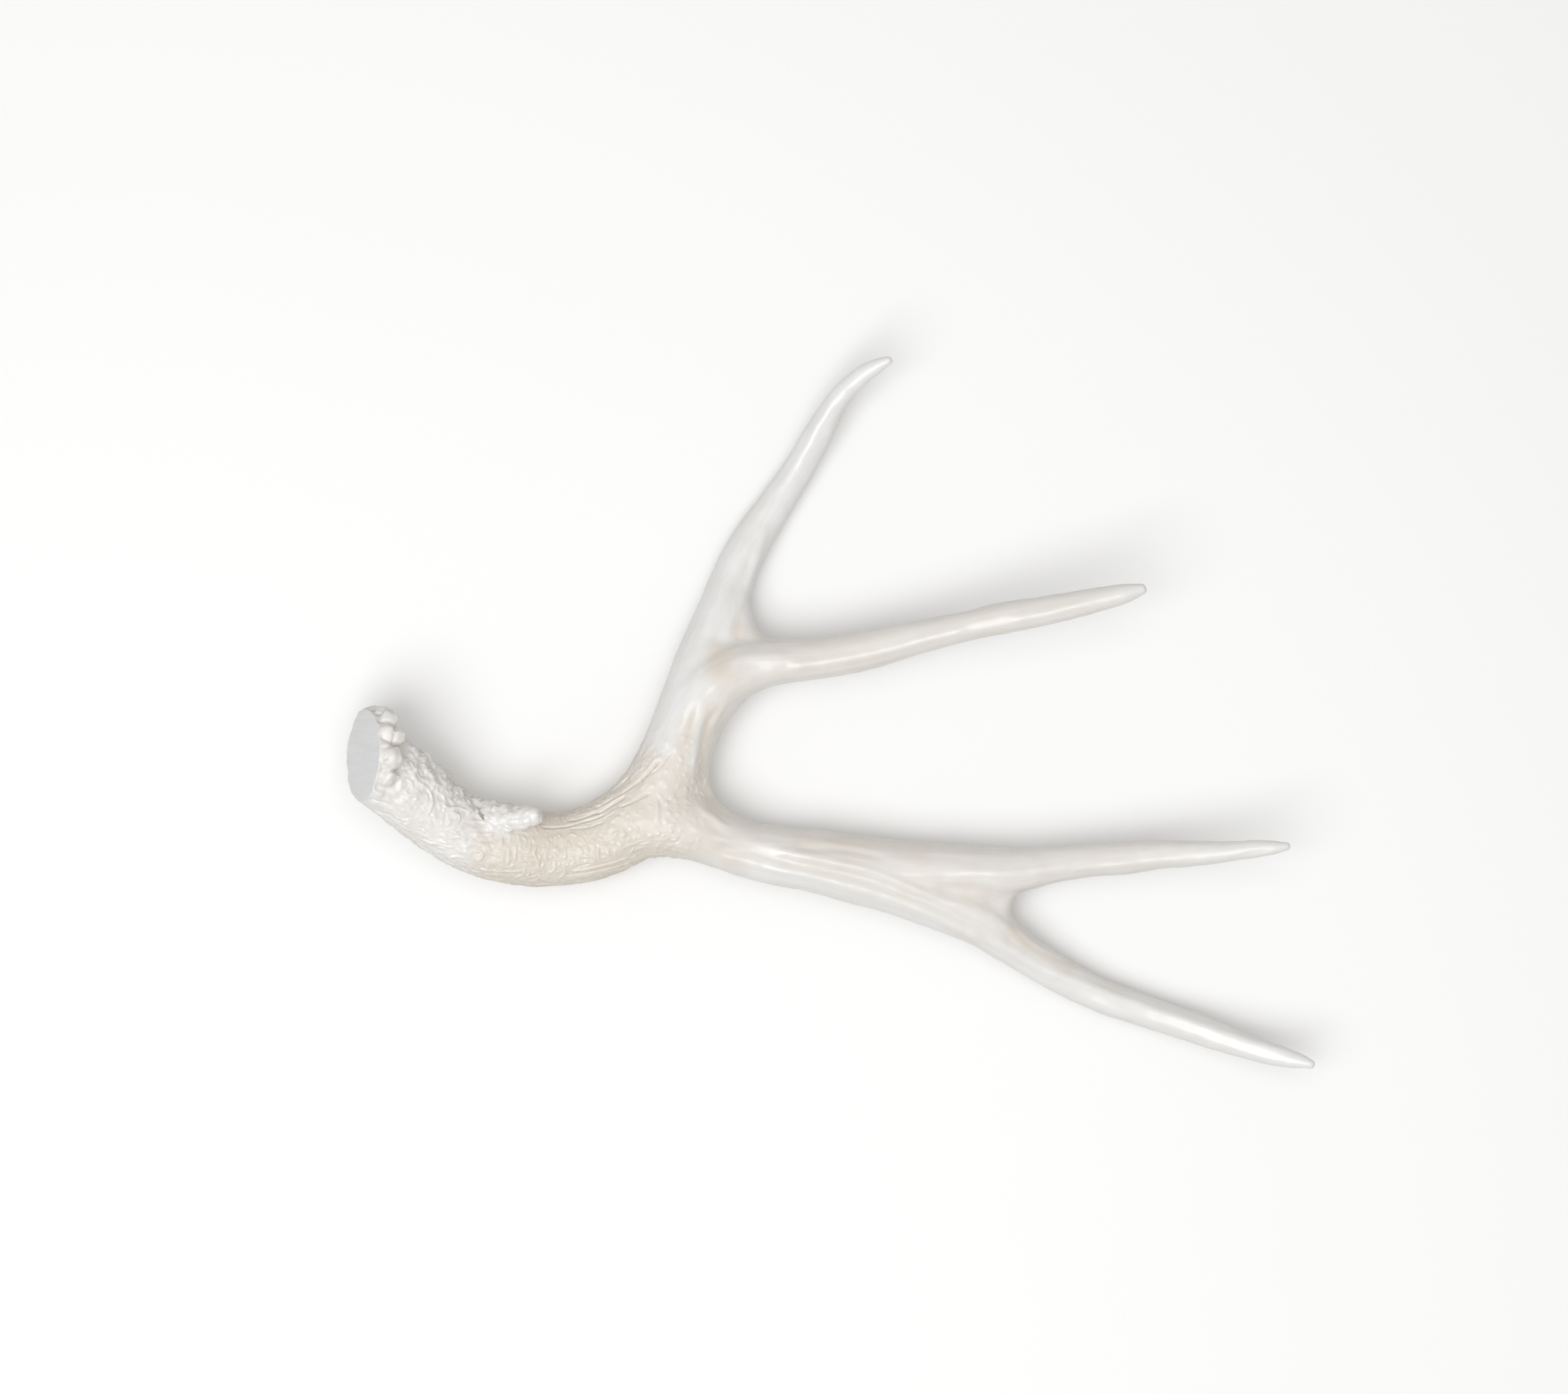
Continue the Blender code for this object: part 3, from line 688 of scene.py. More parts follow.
def rimLobes(behind, rim):
    # the burr's rim: a blocky lobe on each knob, with creases between them and pits on them
    lobes = np.zeros(len(skin.points))
    bulge, crease = forms["lobes"]
    top, side = (np.array(axis) for axis in burrAxes()[1:])
    away = skin.points[rim] - np.array(burr["centre"])
    angle = np.degrees(np.arctan2(away @ side, away @ top))
    angle += 7 * wave(skin.points[rim], 7.0, 6)
    knobs = np.array(burr["knobs"])
    turned = (angle[:, None] - knobs[:, 0] + 180) % 360 - 180
    sideways = np.radians(turned) * burr["ring"] / knobs[:, 3]
    deep = (behind[rim][:, None] - knobs[:, 1]) / knobs[:, 2]
    gaps = np.sort(np.hypot(sideways, deep), axis=1)
    lobes[rim] = bulge * np.clip(1 - gaps[:, 0], 0, 1)
    lobes[rim] -= crease * (1 - smoothStep(0, 0.4, gaps[:, 1] - gaps[:, 0]))
    lobes[rim] += 0.55 * wave(skin.points[rim], 4.4, 6) + 0.2 * wave(skin.points[rim], 1.9, 7)
    lobes *= smoothStep(18, 12, behind)
    for height, width, line in forms["pits"]:
        skin.stroke(lobes, skin.lay(line), height, width, taper=0.2)
    return lobes


def raggedRim(behind, rim):
    # the burr's outline wanders in and out, and its cut face with it
    out = np.array(burrAxes()[0])
    away = skin.points[rim] - np.array(burr["centre"])
    reach = away - (away @ out)[:, None] * out
    far = np.linalg.norm(reach, axis=1)
    ringward = reach / np.maximum(far, 0.1)[:, None]
    height, width = forms["ragged"]
    ring = ringward * burr["ring"]
    uneven = wave(ring, width, 15) + 0.45 * wave(ring, width / 2.6, 16)
    share = np.clip(far / burr["radius"], 0, 1.2) ** 2
    uneven = height * np.minimum(uneven, 0.45) * share * smoothStep(16, 9, behind[rim])
    return ringward * uneven[:, None]


def shapeForms():
    heights = np.zeros(len(skin.points))
    behind = skin.behindFace()
    rim = np.flatnonzero((behind < 20) & (skin.points[:, 0] < -190))
    addStems(heights)
    addCrest(heights, behind)
    heights += rimLobes(behind, rim)
    # the burr's cut face stays flat
    heights *= smoothStep(0.3, 2.4, behind)
    moved = skin.spread(heights, 4)[:, None] * skin.normals
    moved[rim] += raggedRim(behind, rim)
    writePoints(antler.data, (skin.points + moved) * mm)
    skin.read()
    print("forms shaped")


shapeForms()


# ---- pearling: the ridges, grooves and beads of the beam

pearling = {
    # height, width, line: what stands out by itself
    "marks": (
        # long grooves on the beam's upper edge
        (-1.1, 1.9, ((-127.7, -53), (-121.8, -51.9), (-116, -49.6), (-112.1, -48.4), (-106.3, -44.9),
                      (-100.5, -41.4))),
        (-0.9, 1.6, ((-140.4, -56.2), (-134.2, -56.2), (-128, -55.4), (-121.8, -53.8), (-116, -52.3),
                     (-110.2, -50))),
        (-0.5, 1.2, ((-127.3, -57), (-121.8, -56.6), (-116.8, -55.7), (-114.1, -54.6), (-110.2, -53.4))),
        (-0.9, 1.6, ((-102.4, -46.4), (-96.6, -43.7), (-92.7, -41.8), (-88.2, -39.5))),
        (-0.95, 1.8, ((-114, -46.8), (-106.4, -42.2), (-98.5, -37.5), (-90.8, -31.2), (-84, -24))),
        (-0.4, 1.1, ((-95.8, -37.6), (-90, -31.5), (-83, -26.8), (-78, -20))),
        (-0.85, 1.7, ((-136, -50.6), (-126, -48.8), (-116, -44.6), (-107, -38.8), (-99, -32))),
        (0.45, 1.6, ((-124, -50.6), (-114, -47.4), (-106, -43.2), (-99, -38.4), (-92, -31.8))),
        (0.4, 1.3, ((-126, -54.6), (-118, -53.4), (-111, -51.2), (-104.6, -47.8), (-97, -44.4))),
        # worm ridges of the middle beam
        (0.6, 1.4, ((-153.4, -64.6), (-153.4, -68.5), (-154.3, -72.4))),
        (0.6, 1.4, ((-156.9, -66.6), (-156.7, -70.4), (-157.6, -73.9))),
        (0.65, 1.4, ((-143, -64.6), (-144.4, -68.5), (-143, -72.4), (-142.4, -77.4))),
        (0.4, 1.2, ((-152.7, -69.2), (-148, -69.6), (-144.4, -69.8))),
        (0.4, 1.2, ((-152.4, -72.4), (-148, -72.2), (-143.4, -72.6))),
        (0.55, 1.3, ((-149.8, -60.5), (-148.4, -63), (-149.6, -65.8))),
        (0.6, 1.4, ((-156.4, -82.2), (-153.6, -80.4), (-150.2, -79), (-149.2, -76))),
        (0.6, 1.4, ((-129.6, -65.6), (-129.2, -69), (-129.6, -72.2))),
        (0.6, 1.4, ((-134.6, -73), (-134.8, -76.6), (-138, -78.6))),
        (0.65, 1.4, ((-130.2, -73.6), (-130, -78.4), (-132.8, -81.4))),
        (0.6, 1.5, ((-113, -65.6), (-113.4, -69), (-112.8, -72), (-110, -73))),
        (0.5, 1.3, ((-138.6, -61), (-137.4, -64.6), (-139.2, -67.6))),
        (0.5, 1.3, ((-135.6, -66.6), (-131.8, -65.8))),
        (0.45, 1.3, ((-124.6, -62), (-123.6, -65.4), (-121, -67.4), (-121.6, -70.4))),
        (0.45, 1.2, ((-122, -70.2), (-116.6, -70.6))),
        (0.5, 1.3, ((-105, -66.5), (-104.4, -70))),
        (-0.55, 1.3, ((-129.4, -79.4), (-122, -78.9), (-116, -77.8), (-108, -76), (-102, -74.2),
                      (-92, -69.4))),
        (-0.5, 1.2, ((-125.4, -76.2), (-122.3, -75), (-117.7, -73.7))),
        (0.55, 1.4, ((-126, -77.6), (-118, -76.2), (-108, -73.8), (-99, -70.8))),
        # beads and creases towards the fork
        (0.55, 2.0, ((-95.6, -61.4), (-94.8, -60.6))),
        (0.55, 1.8, ((-93.2, -45.4), (-92.4, -44.2))),
        (-0.25, 2.4, ((-82.9, -42), (-82.2, -47), (-82.6, -51), (-81.4, -55))),
        (0.3, 2.4, ((-84.6, -43), (-84.2, -48), (-84.6, -53))),
        (0.5, 2.4, ((-77, -60.6), (-75.4, -60))),
        (-0.35, 1.3, ((-78.8, -62.4), (-77.2, -63.4), (-74.4, -62.8), (-73, -60.4))),
        (0.45, 2.0, ((-75, -36.4), (-73.4, -34.8))),
        # low beam
        (0.75, 1.7, ((-199.8, -33.6), (-195.4, -36.6), (-193.4, -41), (-193.6, -45.6), (-195.2, -49.8))),
        (0.6, 1.5, ((-208.6, -34), (-205.4, -32.2), (-202.4, -34), (-202.4, -36.8))),
        (0.55, 1.5, ((-206, -37.8), (-203.4, -40), (-199.6, -39.6))),
        (0.6, 1.5, ((-188.6, -44.6), (-185.4, -46.2), (-181, -46.2), (-176, -48))),
        (0.65, 1.5, ((-186.6, -49.4), (-183.4, -48.6), (-180.4, -50.6), (-181.2, -53.2))),
        (0.7, 1.8, ((-180, -39), (-176.8, -42.4), (-174, -46.2), (-171, -48.6))),
        (0.6, 1.5, ((-191.4, -38.2), (-188, -40.4), (-187.4, -43.8))),
        (0.5, 1.4, ((-177, -53), (-172, -52.8), (-167.4, -53.7), (-163.1, -55.7))),
        (0.7, 1.6, ((-173.4, -67.6), (-170.8, -67.4), (-169.6, -69.4), (-171, -71.6), (-173, -71))),
        (0.5, 1.5, ((-186.6, -70.6), (-182, -70), (-178, -71))),
        (0.5, 1.6, ((-169, -76.8), (-163, -77.4), (-157, -77.6), (-150, -77.4))),
        (0.45, 1.6, ((-201.6, -61), (-197, -62.6), (-192.2, -64))),
        (0.45, 1.5, ((-190, -59.4), (-184.6, -61), (-180.4, -60.6), (-176.8, -62.2))),
        (0.5, 1.6, ((-178, -65.4), (-174, -64.4), (-169.6, -65.4))),
        (0.5, 1.6, ((-181.6, -77.4), (-174, -80.2), (-165, -82.4), (-156, -84))),
        (0.5, 2.2, ((-193.4, -71.4), (-191.6, -72.6))),
        # round the foot of the brow tine
        (0.8, 2.6, ((-169.8, -61.4), (-168.6, -61.8))),
        (0.8, 2.4, ((-163.6, -60.2), (-162.2, -60.8))),
        (0.9, 2.6, ((-160.6, -60.6), (-160.4, -64.6))),
        (0.7, 2.2, ((-173.2, -58.8), (-168, -59.6), (-163, -58.8))),
        (-0.6, 1.5, ((-174, -61.4), (-170, -63), (-164, -62.6))),
        (1.1, 4.6, ((-170.2, -46.4), (-168.2, -46.6))),
        (1.0, 4.2, ((-164.8, -46.2), (-162.6, -46.6))),
        (0.8, 3.8, ((-159.2, -47), (-157, -47))),
        (0.6, 3.6, ((-157, -53.6), (-151, -53), (-145, -51.6))),
    ),
    # beads on the upper outline of the low beam: x, y, z, height, width
    "crest": (
        (-200.6, -22.0, 38, 2.0, 5.6), (-196.6, -24.2, 36, 1.4, 4.4), (-192.6, -28.6, 35, 1.6, 5.0),
        (-188.4, -32.4, 33, 1.4, 4.8), (-184.4, -36.0, 31, 1.8, 5.2), (-180.2, -38.2, 30, 2.0, 5.0),
        (-176.8, -41.4, 30, 1.3, 4.4), (-172.4, -43.6, 31, 1.5, 4.6), (-207.4, -15.6, 40, 1.0, 4.0),
        (-197.6, -31.4, 43, 1.1, 4.2), (-190.4, -37.6, 40, 1.2, 4.4), (-183.2, -43.4, 40, 1.2, 4.6),
        (-176.2, -48.4, 40, 1.1, 4.4), (-204.4, -26.2, 46, 1.0, 4.0), (-186.4, -52.6, 41, 1.0, 4.0),
    ),
    "crinkles": ((6.5, 0.55), (3.4, 0.3)),  # width and height of the low beam's sharp-edged unevenness
    # kinds of random ridge: how many tries, length, width, height, how much it turns a step,
    # and the room that it keeps to its neighbours
    "kinds": {
        "rings": {"tries": 1500, "length": (1, 4), "width": 1.6, "height": 0.6, "turn": 0.3,
                  "room": 2.2},
        "lengthwise": {"tries": 1400, "length": (3, 11), "width": 1.3, "height": 0.42, "turn": 0.15,
                       "room": 2.0},
        "worms": {"tries": 3000, "length": (1.8, 6), "width": 1.15, "height": 0.5, "turn": 0.25,
                  "room": 1.8},
        "beads": {"tries": 1800, "length": (0.6, 4), "width": 2.6, "height": 0.5, "turn": 0.4,
                  "room": 3.0},
    },
}


def pearlZones():
    # how strongly each kind of ridge grows, by vertex
    x, y = skin.points.T[:2]
    beamX, beamY = np.array(strands["beam"])[:, :2].T
    upper = (y - np.interp(x, beamX, beamY)) / 18  # 1 on the upper outline, -1 on the lower
    low = smoothStep(-157, -165, x)
    rear = smoothStep(-6, -34, y + 0.25 * (x + 70))
    front = smoothStep(-58, -76, x - 0.2 * (y + 50))
    end = rear * front
    base = 1 - 0.55 * skin.brow
    rims = smoothStep(0.45, 0.8, abs(upper)) * smoothStep(-80, -95, x)
    return {
        "rings": base * low * smoothStep(-0.35, 0.2, upper),
        "lengthwise": base * np.clip(low * smoothStep(0.2, -0.3, upper) + (1 - low) * end * rims, 0, 1),
        "worms": base * (1 - low) * smoothStep(-100, -114, x) * (1 - 0.5 * rims),
        "beads": base * (1 - low) * smoothStep(-120, -106, x) * end * (1 - 0.8 * rims),
    }


def wander(start, heading, kind, taken, dice):
    # walks over the surface and leaves a path, stopping where another one runs
    path = [start]
    steps = max(2, round(dice.uniform(*kind["length"]) / 0.6))
    for turn in range(steps):
        place, normal = skin.shell.find_nearest(Vector(path[-1] + heading * 0.6) * mm)[:2]
        place = np.array(place) / mm
        cell = tuple(np.floor(place / kind["room"]).astype(int))
        if taken.get(cell, start) is not start:
            break
        taken[cell] = start
        heading = place - path[-1]
        normal = np.array(normal)
        swing = dice.gauss(0, kind["turn"])
        heading = heading * math.cos(swing) + np.cross(normal, heading) * math.sin(swing)
        heading -= normal * (heading @ normal)
        heading /= max(np.linalg.norm(heading), 1e-6)
        path.append(place)
    return np.array(path)


def growPearling():
    p = pearling
    heights = np.zeros(len(skin.points))
    taken = {}
    for height, width, line in p["marks"]:
        path = skin.lay(line)
        skin.stroke(heights, path, height, width, taper=1.5)
        for place in path:
            for kind in p["kinds"].values():
                taken.setdefault(tuple(np.floor(place / kind["room"]).astype(int)), path)
    for x, y, z, height, width in p["crest"]:
        middle = np.array(skin.shell.find_nearest(Vector((x, y, z)) * mm)[0]) / mm
        path = np.array([middle - (0.8, -0.6, 0), middle, middle + (0.8, -0.6, 0)])
        skin.stroke(heights, path, height, width, taper=0.1)
    dice = random.Random(11)
    zones = pearlZones()
    count = 0
    for name, kind in p["kinds"].items():
        zone = zones[name]
        spots = np.flatnonzero(zone > 0.05)
        for turn in range(kind["tries"]):
            spot = spots[dice.randrange(len(spots))]
            strength = zone[spot]
            if dice.random() > strength:
                continue
            start = skin.points[spot]
            normal = skin.normals[spot]
            along = skin.along[spot] - normal * (skin.along[spot] @ normal)
            along /= np.linalg.norm(along)
            across = np.cross(normal, along)
            if name == "lengthwise":
                lean = dice.gauss(0, 0.2)
            elif name == "worms":
                lean = dice.choice((0, 1.57, 1.57)) + dice.gauss(0, 0.25)
            else:
                lean = dice.uniform(0, math.pi)
            heading = along * math.cos(lean) + across * math.sin(lean)
            if dice.random() < 0.5:
                heading = -heading
            path = wander(start, heading, kind, taken, dice)
            if len(path) < 2:
                continue
            height = kind["height"] * (0.45 + 0.55 * strength) * dice.uniform(0.6, 1.25)
            width = kind["width"] * dice.uniform(0.8, 1.3)
            skin.stroke(heights, path, height, width, taper=1.0)
            count += 1
    # grit between the ridges
    pearled = np.clip(sum(zones.values()), 0, 1)
    low = zones["rings"] + 0.6 * zones["lengthwise"] * smoothStep(-150, -165, skin.points[:, 0])
    for width, height in p["crinkles"]:
        heights += low * height * (0.45 - 2 * abs(wave(skin.points, width, 17)))
    heights += pearled * 0.14 * wave(skin.points, 4.0, 4)
    heights += pearled * 0.03 * wave(skin.points, 1.4, 5)
    heights *= smoothStep(10, 14, skin.behindFace())
    skin.pearled = pearled
    skin.push(heights)
    # nothing reaches below the floor
    skin.points[:, 2] = np.maximum(skin.points[:, 2], 0.02)
    writePoints(antler.data, skin.points * mm)
    print("pearling grown:", count, "ridges")


growPearling()


# ---- colour fields, kept with the mesh

colouring = {
    # how beige each strand is, by share of the way along it
    "tones": {
        "beam": ((0, 0.3), (0.2, 0.28), (0.44, 0.3), (0.54, 0.85), (0.7, 1.0), (1, 0.95)),
        "rearUpper": ((0, 0.9), (0.14, 0.75), (0.24, 0.35), (0.36, 0.12), (0.7, 0.1), (1, 0.0)),
        "rearLower": ((0, 0.8), (0.1, 0.6), (0.25, 0.5), (0.5, 0.55), (0.8, 0.45), (1, 0.25)),
        "frontUpper": ((0, 0.85), (0.15, 0.6), (0.3, 0.5), (0.55, 0.5), (0.75, 0.42), (1, 0.15)),
        "frontLower": ((0, 0.45), (0.3, 0.4), (0.5, 0.3), (1, 0.08)),
    },
    "brow": 0.3,
    "evened": 120,
    # tone, width, line
    "patches": (
        # the rear stem's left side lighter: partly its own white, partly painted light on the side that
        # faces the lamp
        (0.12, 26, ((-84, -22), (-77, -2), (-71, 18), (-66, 34), (-62, 50), (-54, 68))),
        (0.8, 13, ((-53, 38), (-54.5, 30), (-53, 20), (-50, 14))),
        (0.85, 7, ((-54, 6), (-59, -4), (-62, -14), (-63, -24), (-62, -34), (-59, -44), (-52, -50))),
        (0.75, 10, ((-66, 4), (-70, -12), (-74, -28))),
        # a lighter stripe along the rear stem's ridge: painted highlight
        (0.2, 4, ((-63, 2), (-65.4, -14), (-67.6, -30))),
        (0.7, 9, ((-42, 48), (-44, 41), (-40, 36))),
        # the front stem's upper side darker: partly its own beige, partly painted shade
        (0.75, 10, ((-20, -64), (4, -63), (30, -66), (52, -70))),
        # the front stem's lower roll lighter: partly its own white, partly painted light
        (0.2, 12, ((-44, -78), (-16, -83), (12, -91), (40, -101), (66, -113))),
        (0.6, 16, ((48, -84), (66, -87), (84, -90))),
        # the lower front tine's upper side darker: partly its own beige, partly painted shade
        (0.8, 7, ((84, -104), (96, -114), (108, -121), (124, -127))),
        # and its lower side lighter: partly its own white, partly painted light
        (0.05, 9, ((90, -124), (110, -136), (134, -145), (160, -154))),
        (0.85, 7, ((-100, -68), (-84, -66), (-74, -66))),
        (0.15, 12, ((-62, -76), (-50, -76))),
    ),
}


def paintFields():
    c = colouring
    tone = np.zeros(len(skin.points))
    for number, name in enumerate(strands):
        if name in c["tones"]:
            shares, values = zip(*c["tones"][name])
            here = skin.strand == number
            tone[here] = np.interp(skin.share[here], shares, values)
    tone = skin.spread(tone, c["evened"])
    tone += (c["brow"] - tone) * skin.spread(skin.brow, 12)
    # patches of the bone's own beige and brown; some also paint light and shade onto the lit and shaded
    # sides
    for value, width, line in c["patches"]:
        mask = np.zeros(len(tone))
        skin.stroke(mask, skin.lay(line), 1, width, taper=6, soft=True)
        mask = skin.spread(mask, 6)
        tone += (value - tone) * mask
    tone = skin.spread(tone, 20)
    # creases and crests, from how far each vertex lies off its neighbours' mean; the finish paints shade
    # into the creases and a highlight onto the crests
    bend = np.zeros(len(tone))
    for rounds, share in ((3, 0.6), (24, 0.4)):
        even = np.column_stack([skin.spread(axis, rounds) for axis in skin.points.T])
        depth = ((even - skin.points) * skin.normals).sum(1)
        bend += share * depth / np.percentile(abs(depth), 97)
    bend = skin.spread(np.clip(bend, -2, 2), 2)
    sawn = smoothStep(0.8, 0.2, skin.behindFace()) * (skin.points[:, 0] < -200)
    fields = {"tone": tone, "bend": bend, "pearled": skin.spread(skin.pearled, 8), "sawn": sawn}
    mesh = antler.data
    for name, values in fields.items():
        layer = mesh.attributes.new(name, "FLOAT", "POINT")
        layer.data.foreach_set("value", values.astype(np.float32))
    grain = skin.grain + skin.strand[:, None] * 40.0
    for name, rows in (("grain", grain), ("soft", skin.normals)):
        layer = mesh.attributes.new(name, "FLOAT_VECTOR", "POINT")
        layer.data.foreach_set("vector", rows.astype(np.float32).ravel())
    print("colour fields painted")


paintFields()


# ---- the bone finish

bone = {
    "white": (0.865, 0.862, 0.855),
    "beige": (0.745, 0.68, 0.595),
    # the colour of the painted shade in the creases
    "creaseShadeBrown": (0.60, 0.52, 0.43),
    "sawn": (0.79, 0.80, 0.80),
    "roughness": 0.38,
    "coat": 0.42,
    "coatLost": 0.31,  # how much less of it the pearling has
    "coatRoughness": 0.13,
}


class Wire:
    # a socket's value, for use in plain arithmetic

    def __init__(self, finish, socket):
        self.finish = finish
        self.socket = socket

    def reckon(self, operation, *values):
        return self.finish.node("ShaderNodeMath", {"operation": operation}, dict(enumerate(values)))

    def __add__(self, other):
        return self.reckon("ADD", self, other)

    def __sub__(self, other):
        return self.reckon("SUBTRACT", self, other)

    def __rsub__(self, other):
        return self.reckon("SUBTRACT", other, self)

    def __mul__(self, other):
        return self.reckon("MULTIPLY", self, other)

    def clip(self, low=0, high=1):
        return self.reckon("MINIMUM", self.reckon("MAXIMUM", self, low), high)

    __radd__ = __add__
    __rmul__ = __mul__


class Finish:
    # a material and the nodes put into it

    def __init__(self, name):
        self.material = bpy.data.materials.new(name)
        self.material.use_nodes = True
        self.tree = self.material.node_tree
        self.shader = self.tree.nodes["Principled BSDF"]

    def node(self, kind, settings=None, sockets=None, output=0):
        made = self.tree.nodes.new(kind)
        for name, value in (settings or {}).items():
            setattr(made, name, value)
        for name, value in (sockets or {}).items():
            self.feed(made.inputs[name], value)
        return Wire(self, made.outputs[output])

    def feed(self, socket, value):
        if isinstance(value, Wire):
            self.tree.links.new(value.socket, socket)
        else:
            socket.default_value = value

    def field(self, name, output="Fac"):
        return self.node("ShaderNodeAttribute", {"attribute_name": name}, output=output)

    def cloud(self, vector, scale, detail=2.0, roughness=0.5):
        settings = {"noise_dimensions": "3D"}
        sockets = {"Vector": vector, "Scale": scale, "Detail": detail, "Roughness": roughness}
        return self.node("ShaderNodeTexNoise", settings, sockets)

    def blend(self, factor, first, second):
        # mixes two colours
        sockets = {"Factor": factor, 6: first, 7: second}
        return self.node("ShaderNodeMix", {"data_type": "RGBA"}, sockets, output=2)

    def shade(self, colour, amount):
        # scales a colour by a number
        sockets = {0: colour, "Scale": amount}
        return self.node("ShaderNodeVectorMath", {"operation": "SCALE"}, sockets)


def boneFinish(name):
    b = bone
    f = Finish(name)
    place = f.node("ShaderNodeTexCoord", output="Object")
    grain = f.field("grain", "Vector")
    stretched = f.node("ShaderNodeMapping", None, {"Vector": grain, "Scale": (0.55, 0.55, 0.05)})
    streaks = f.cloud(stretched, 1.0, 3.0)
    fine = f.node("ShaderNodeMapping", None, {"Vector": grain, "Scale": (2.4, 2.4, 0.22)})
    fibres = f.cloud(fine, 1.0, 3.0, 0.6)
    mottle = f.cloud(place, 45.0, 3.0)
    specks = f.cloud(place, 520.0, 2.0, 0.6)
    tone = f.field("tone")
    bend = f.field("bend")
    pearled = f.field("pearled")
    smooth = 1 - pearled
    # tone holds the bone's own beige and, on some sides, painted light and shade
    beige = (tone + (mottle - 0.5) * 0.7 + (streaks - 0.5) * 0.55 * smooth + (specks - 0.5) * 0.25).clip()
    # painted shade: the deeper a crease, the more its colour is darkened towards brown
    hollow = (bend * 0.55).clip()
    # painted highlight: the higher a crest, the more its colour is lightened towards white
    crest = (bend * -0.45).clip()
    colour = f.blend(beige, (*b["white"], 1), (*b["beige"], 1))
    # painted shade in the creases
    colour = f.blend((hollow * (0.34 + 0.3 * tone)).clip(), colour, (*b["creaseShadeBrown"], 1))
    # painted highlight on the crests
    colour = f.blend((crest * 0.35).clip(), colour, (*b["white"], 1))
    sawn = f.field("sawn")
    lines = {"Vector": place, "Rotation": (0.3, 0.5, 0.9), "Scale": (40, 420, 40)}
    turned = f.node("ShaderNodeMapping", None, lines)
    marks = f.cloud(turned, 1.0, 3.0, 0.6)
    colour = f.blend(sawn * (0.75 + marks * 0.25), colour, (*b["sawn"], 1))
    shade = 0.975 + (fibres - 0.5) * 0.07 + (specks - 0.5) * 0.05 + (marks - 0.5) * sawn * 0.16
    f.feed(f.shader.inputs["Base Color"], f.shade(colour, shade))
    rough = b["roughness"] + (mottle - 0.5) * 0.12 + hollow * 0.2 + pearled * 0.1 + (fibres - 0.5) * 0.08
    f.feed(f.shader.inputs["Roughness"], rough)
    f.feed(f.shader.inputs["Coat Weight"], b["coat"] - pearled * b["coatLost"])
    f.shader.inputs["Coat Roughness"].default_value = b["coatRoughness"]
    height = fibres * 0.5 * smooth + specks * 0.35 + streaks * 0.4
    bump = f.node("ShaderNodeBump", None, {"Strength": 0.35, "Distance": 0.0003, "Height": height})
    f.feed(f.shader.inputs["Normal"], bump)
    return f.material


# ---- the pieces: part the mesh at the marked rings and close each end

pieceOf = {
    # piece: a point by its surface, its slot, share of its faces kept
    "beam": (strands["beam"][5], "pearled_bone", 0.45),
    "brow_tine": (strands["brow"][-1], "smooth_bone", 0.8),
    "rear_stem": (strands["rearUpper"][5], "stem_bone", 0.6),
    "front_stem": (strands["frontUpper"][6], "stem_bone", 0.6),
    "rear_upper_tine": (strands["rearUpper"][-2], "smooth_bone", 0.5),
    "rear_lower_tine": (strands["rearLower"][-2], "smooth_bone", 0.5),
    "front_upper_tine": (strands["frontUpper"][-2], "smooth_bone", 0.5),
    "front_lower_tine": (strands["frontLower"][-2], "smooth_bone", 0.5),
}


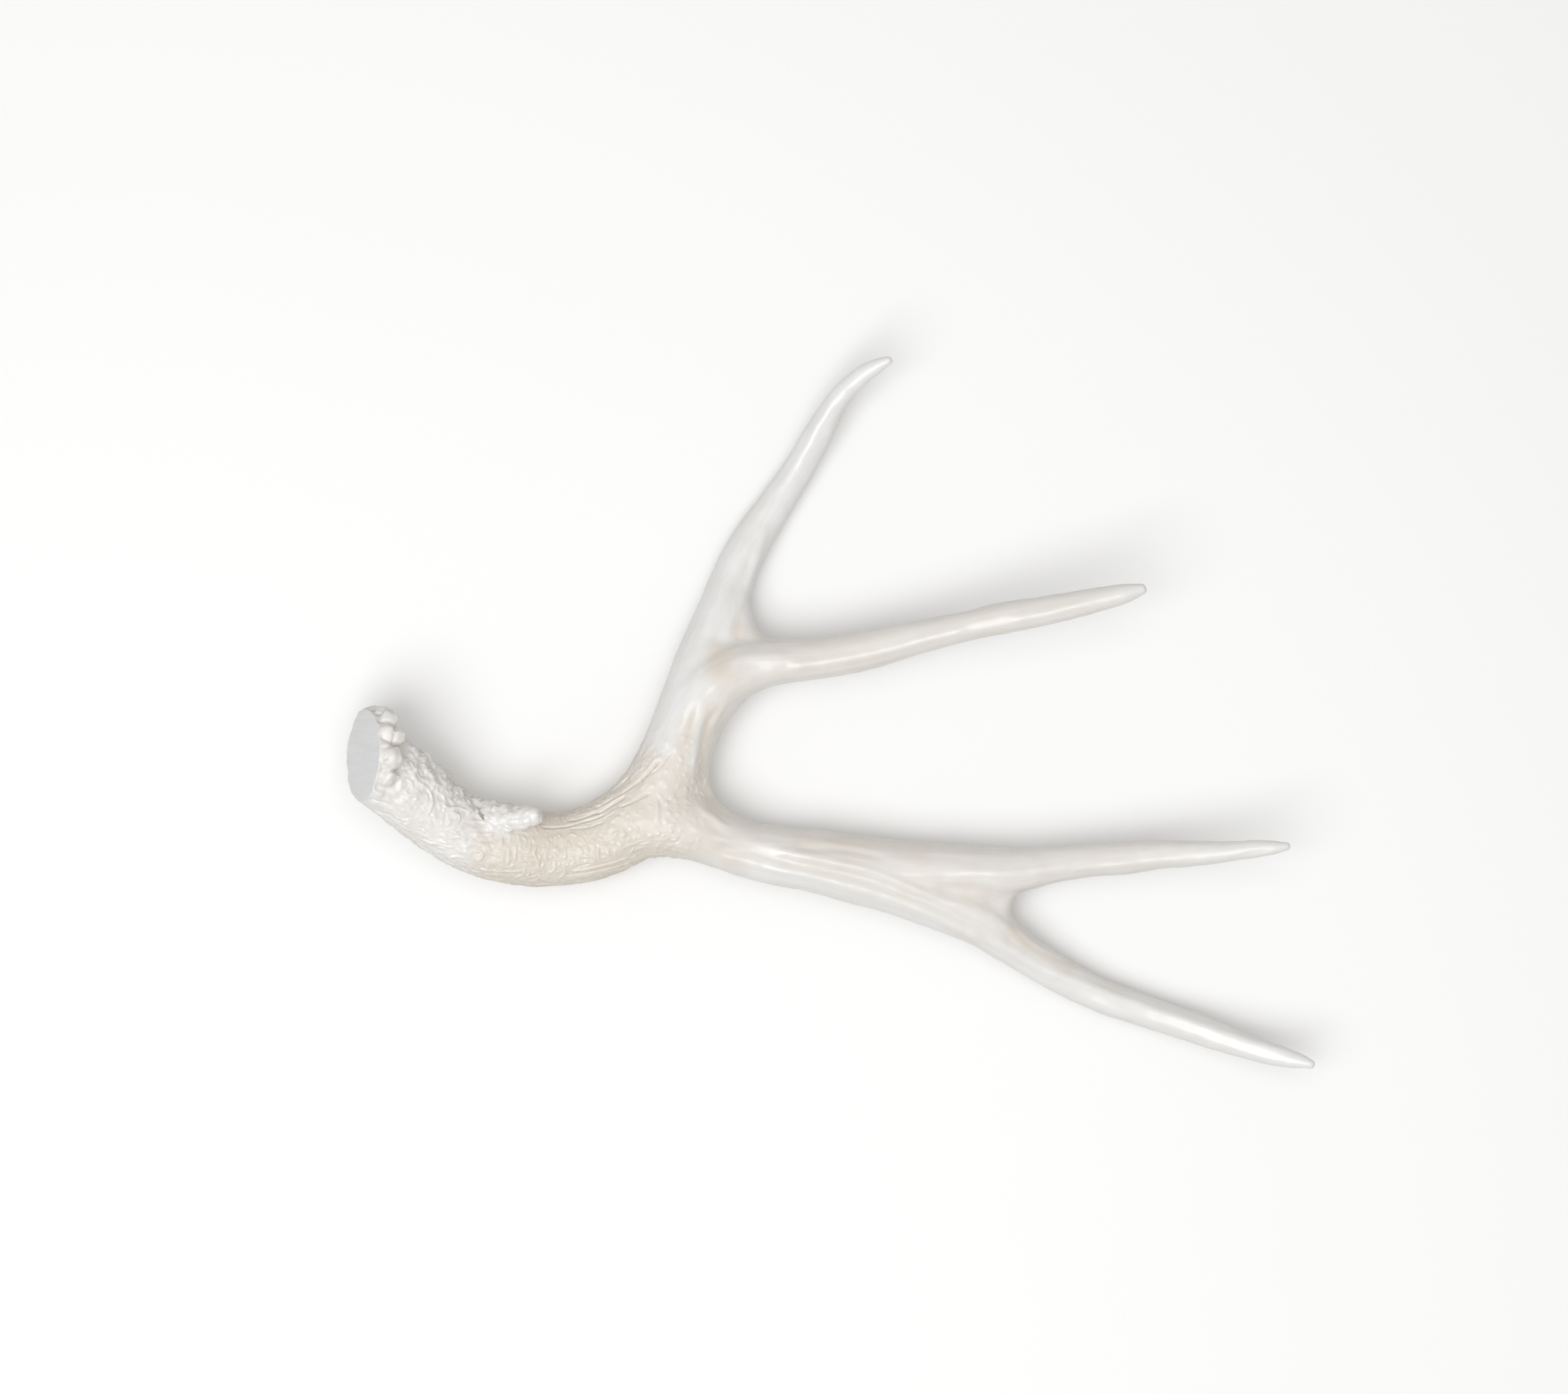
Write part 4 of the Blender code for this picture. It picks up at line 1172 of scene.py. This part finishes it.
def partPiece(name, point):
    # selects what the rings enclose round the point, and parts it from the antler
    mesh = antler.data
    pick(antler)
    points = readPoints(mesh) / mm
    spot = np.linalg.norm(points - np.array(point[:3]), axis=1).argmin()
    selectFaces(mesh, np.zeros(len(mesh.polygons), bool))
    mesh.vertices[spot].select = True
    bpy.ops.object.mode_set(mode="EDIT")
    bpy.ops.mesh.select_mode(type="VERT")
    bpy.ops.mesh.select_more()
    bpy.ops.mesh.select_mode(type="FACE")
    bpy.ops.mesh.select_linked(delimit={"SEAM"})
    bpy.ops.mesh.separate(type="SELECTED")
    bpy.ops.object.mode_set(mode="OBJECT")
    piece = [obj for obj in bpy.context.selected_objects if obj is not antler][0]
    piece.name = name
    return piece


def thinPiece(piece, share):
    # fewer faces, with every vertex of the cut rings kept
    pick(piece)
    mesh = piece.data
    seams = np.empty(len(mesh.edges), bool)
    mesh.edges.foreach_get("use_seam", seams)
    ends = np.empty(len(mesh.edges) * 2, np.int32)
    mesh.edges.foreach_get("vertices", ends)
    weight = np.ones(len(mesh.vertices))
    weight[ends.reshape(-1, 2)[seams].ravel()] = 0
    group = weighGroup(piece, "thinned", weight)
    applyModifier(piece, "DECIMATE", ratio=share, vertex_group=group, vertex_group_factor=1000)
    piece.vertex_groups.clear()


def finishPiece(piece, material):
    pick(piece)
    bpy.ops.object.mode_set(mode="EDIT")
    bpy.ops.mesh.select_all(action="SELECT")
    bpy.ops.mesh.fill_holes(sides=0)
    bpy.ops.mesh.mark_seam(clear=True)
    bpy.ops.object.mode_set(mode="OBJECT")
    bpy.ops.object.shade_smooth()
    # the shading runs on over each cut, as on one bone
    mesh = piece.data
    soft = np.empty(len(mesh.vertices) * 3, np.float32)
    mesh.attributes["soft"].data.foreach_get("vector", soft)
    corners = np.empty(len(mesh.loops), np.int32)
    mesh.loops.foreach_get("vertex_index", corners)
    normals = soft.reshape(-1, 3)[corners]
    for face in mesh.polygons:
        if face.loop_total > 20:
            normals[face.loop_start:face.loop_start + face.loop_total] = face.normal
    mesh.normals_split_custom_set(normals.tolist())
    mesh.attributes.remove(mesh.attributes["soft"])
    mesh.materials.clear()
    mesh.materials.append(material)


slots = {slot: boneFinish(slot) for slot in ("pearled_bone", "stem_bone", "smooth_bone")}
pieces = {}
for name, (point, slot, share) in pieceOf.items():
    if name != "beam":
        pieces[name] = partPiece(name + "_bone", point)
antler.name = "beam_bone"
pieces["beam"] = antler
for name, piece in pieces.items():
    point, slot, share = pieceOf[name]
    thinPiece(piece, share)
    finishPiece(piece, slots[slot])
    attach(piece, "root")
    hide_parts(name)
    print("piece", name, len(piece.data.polygons))
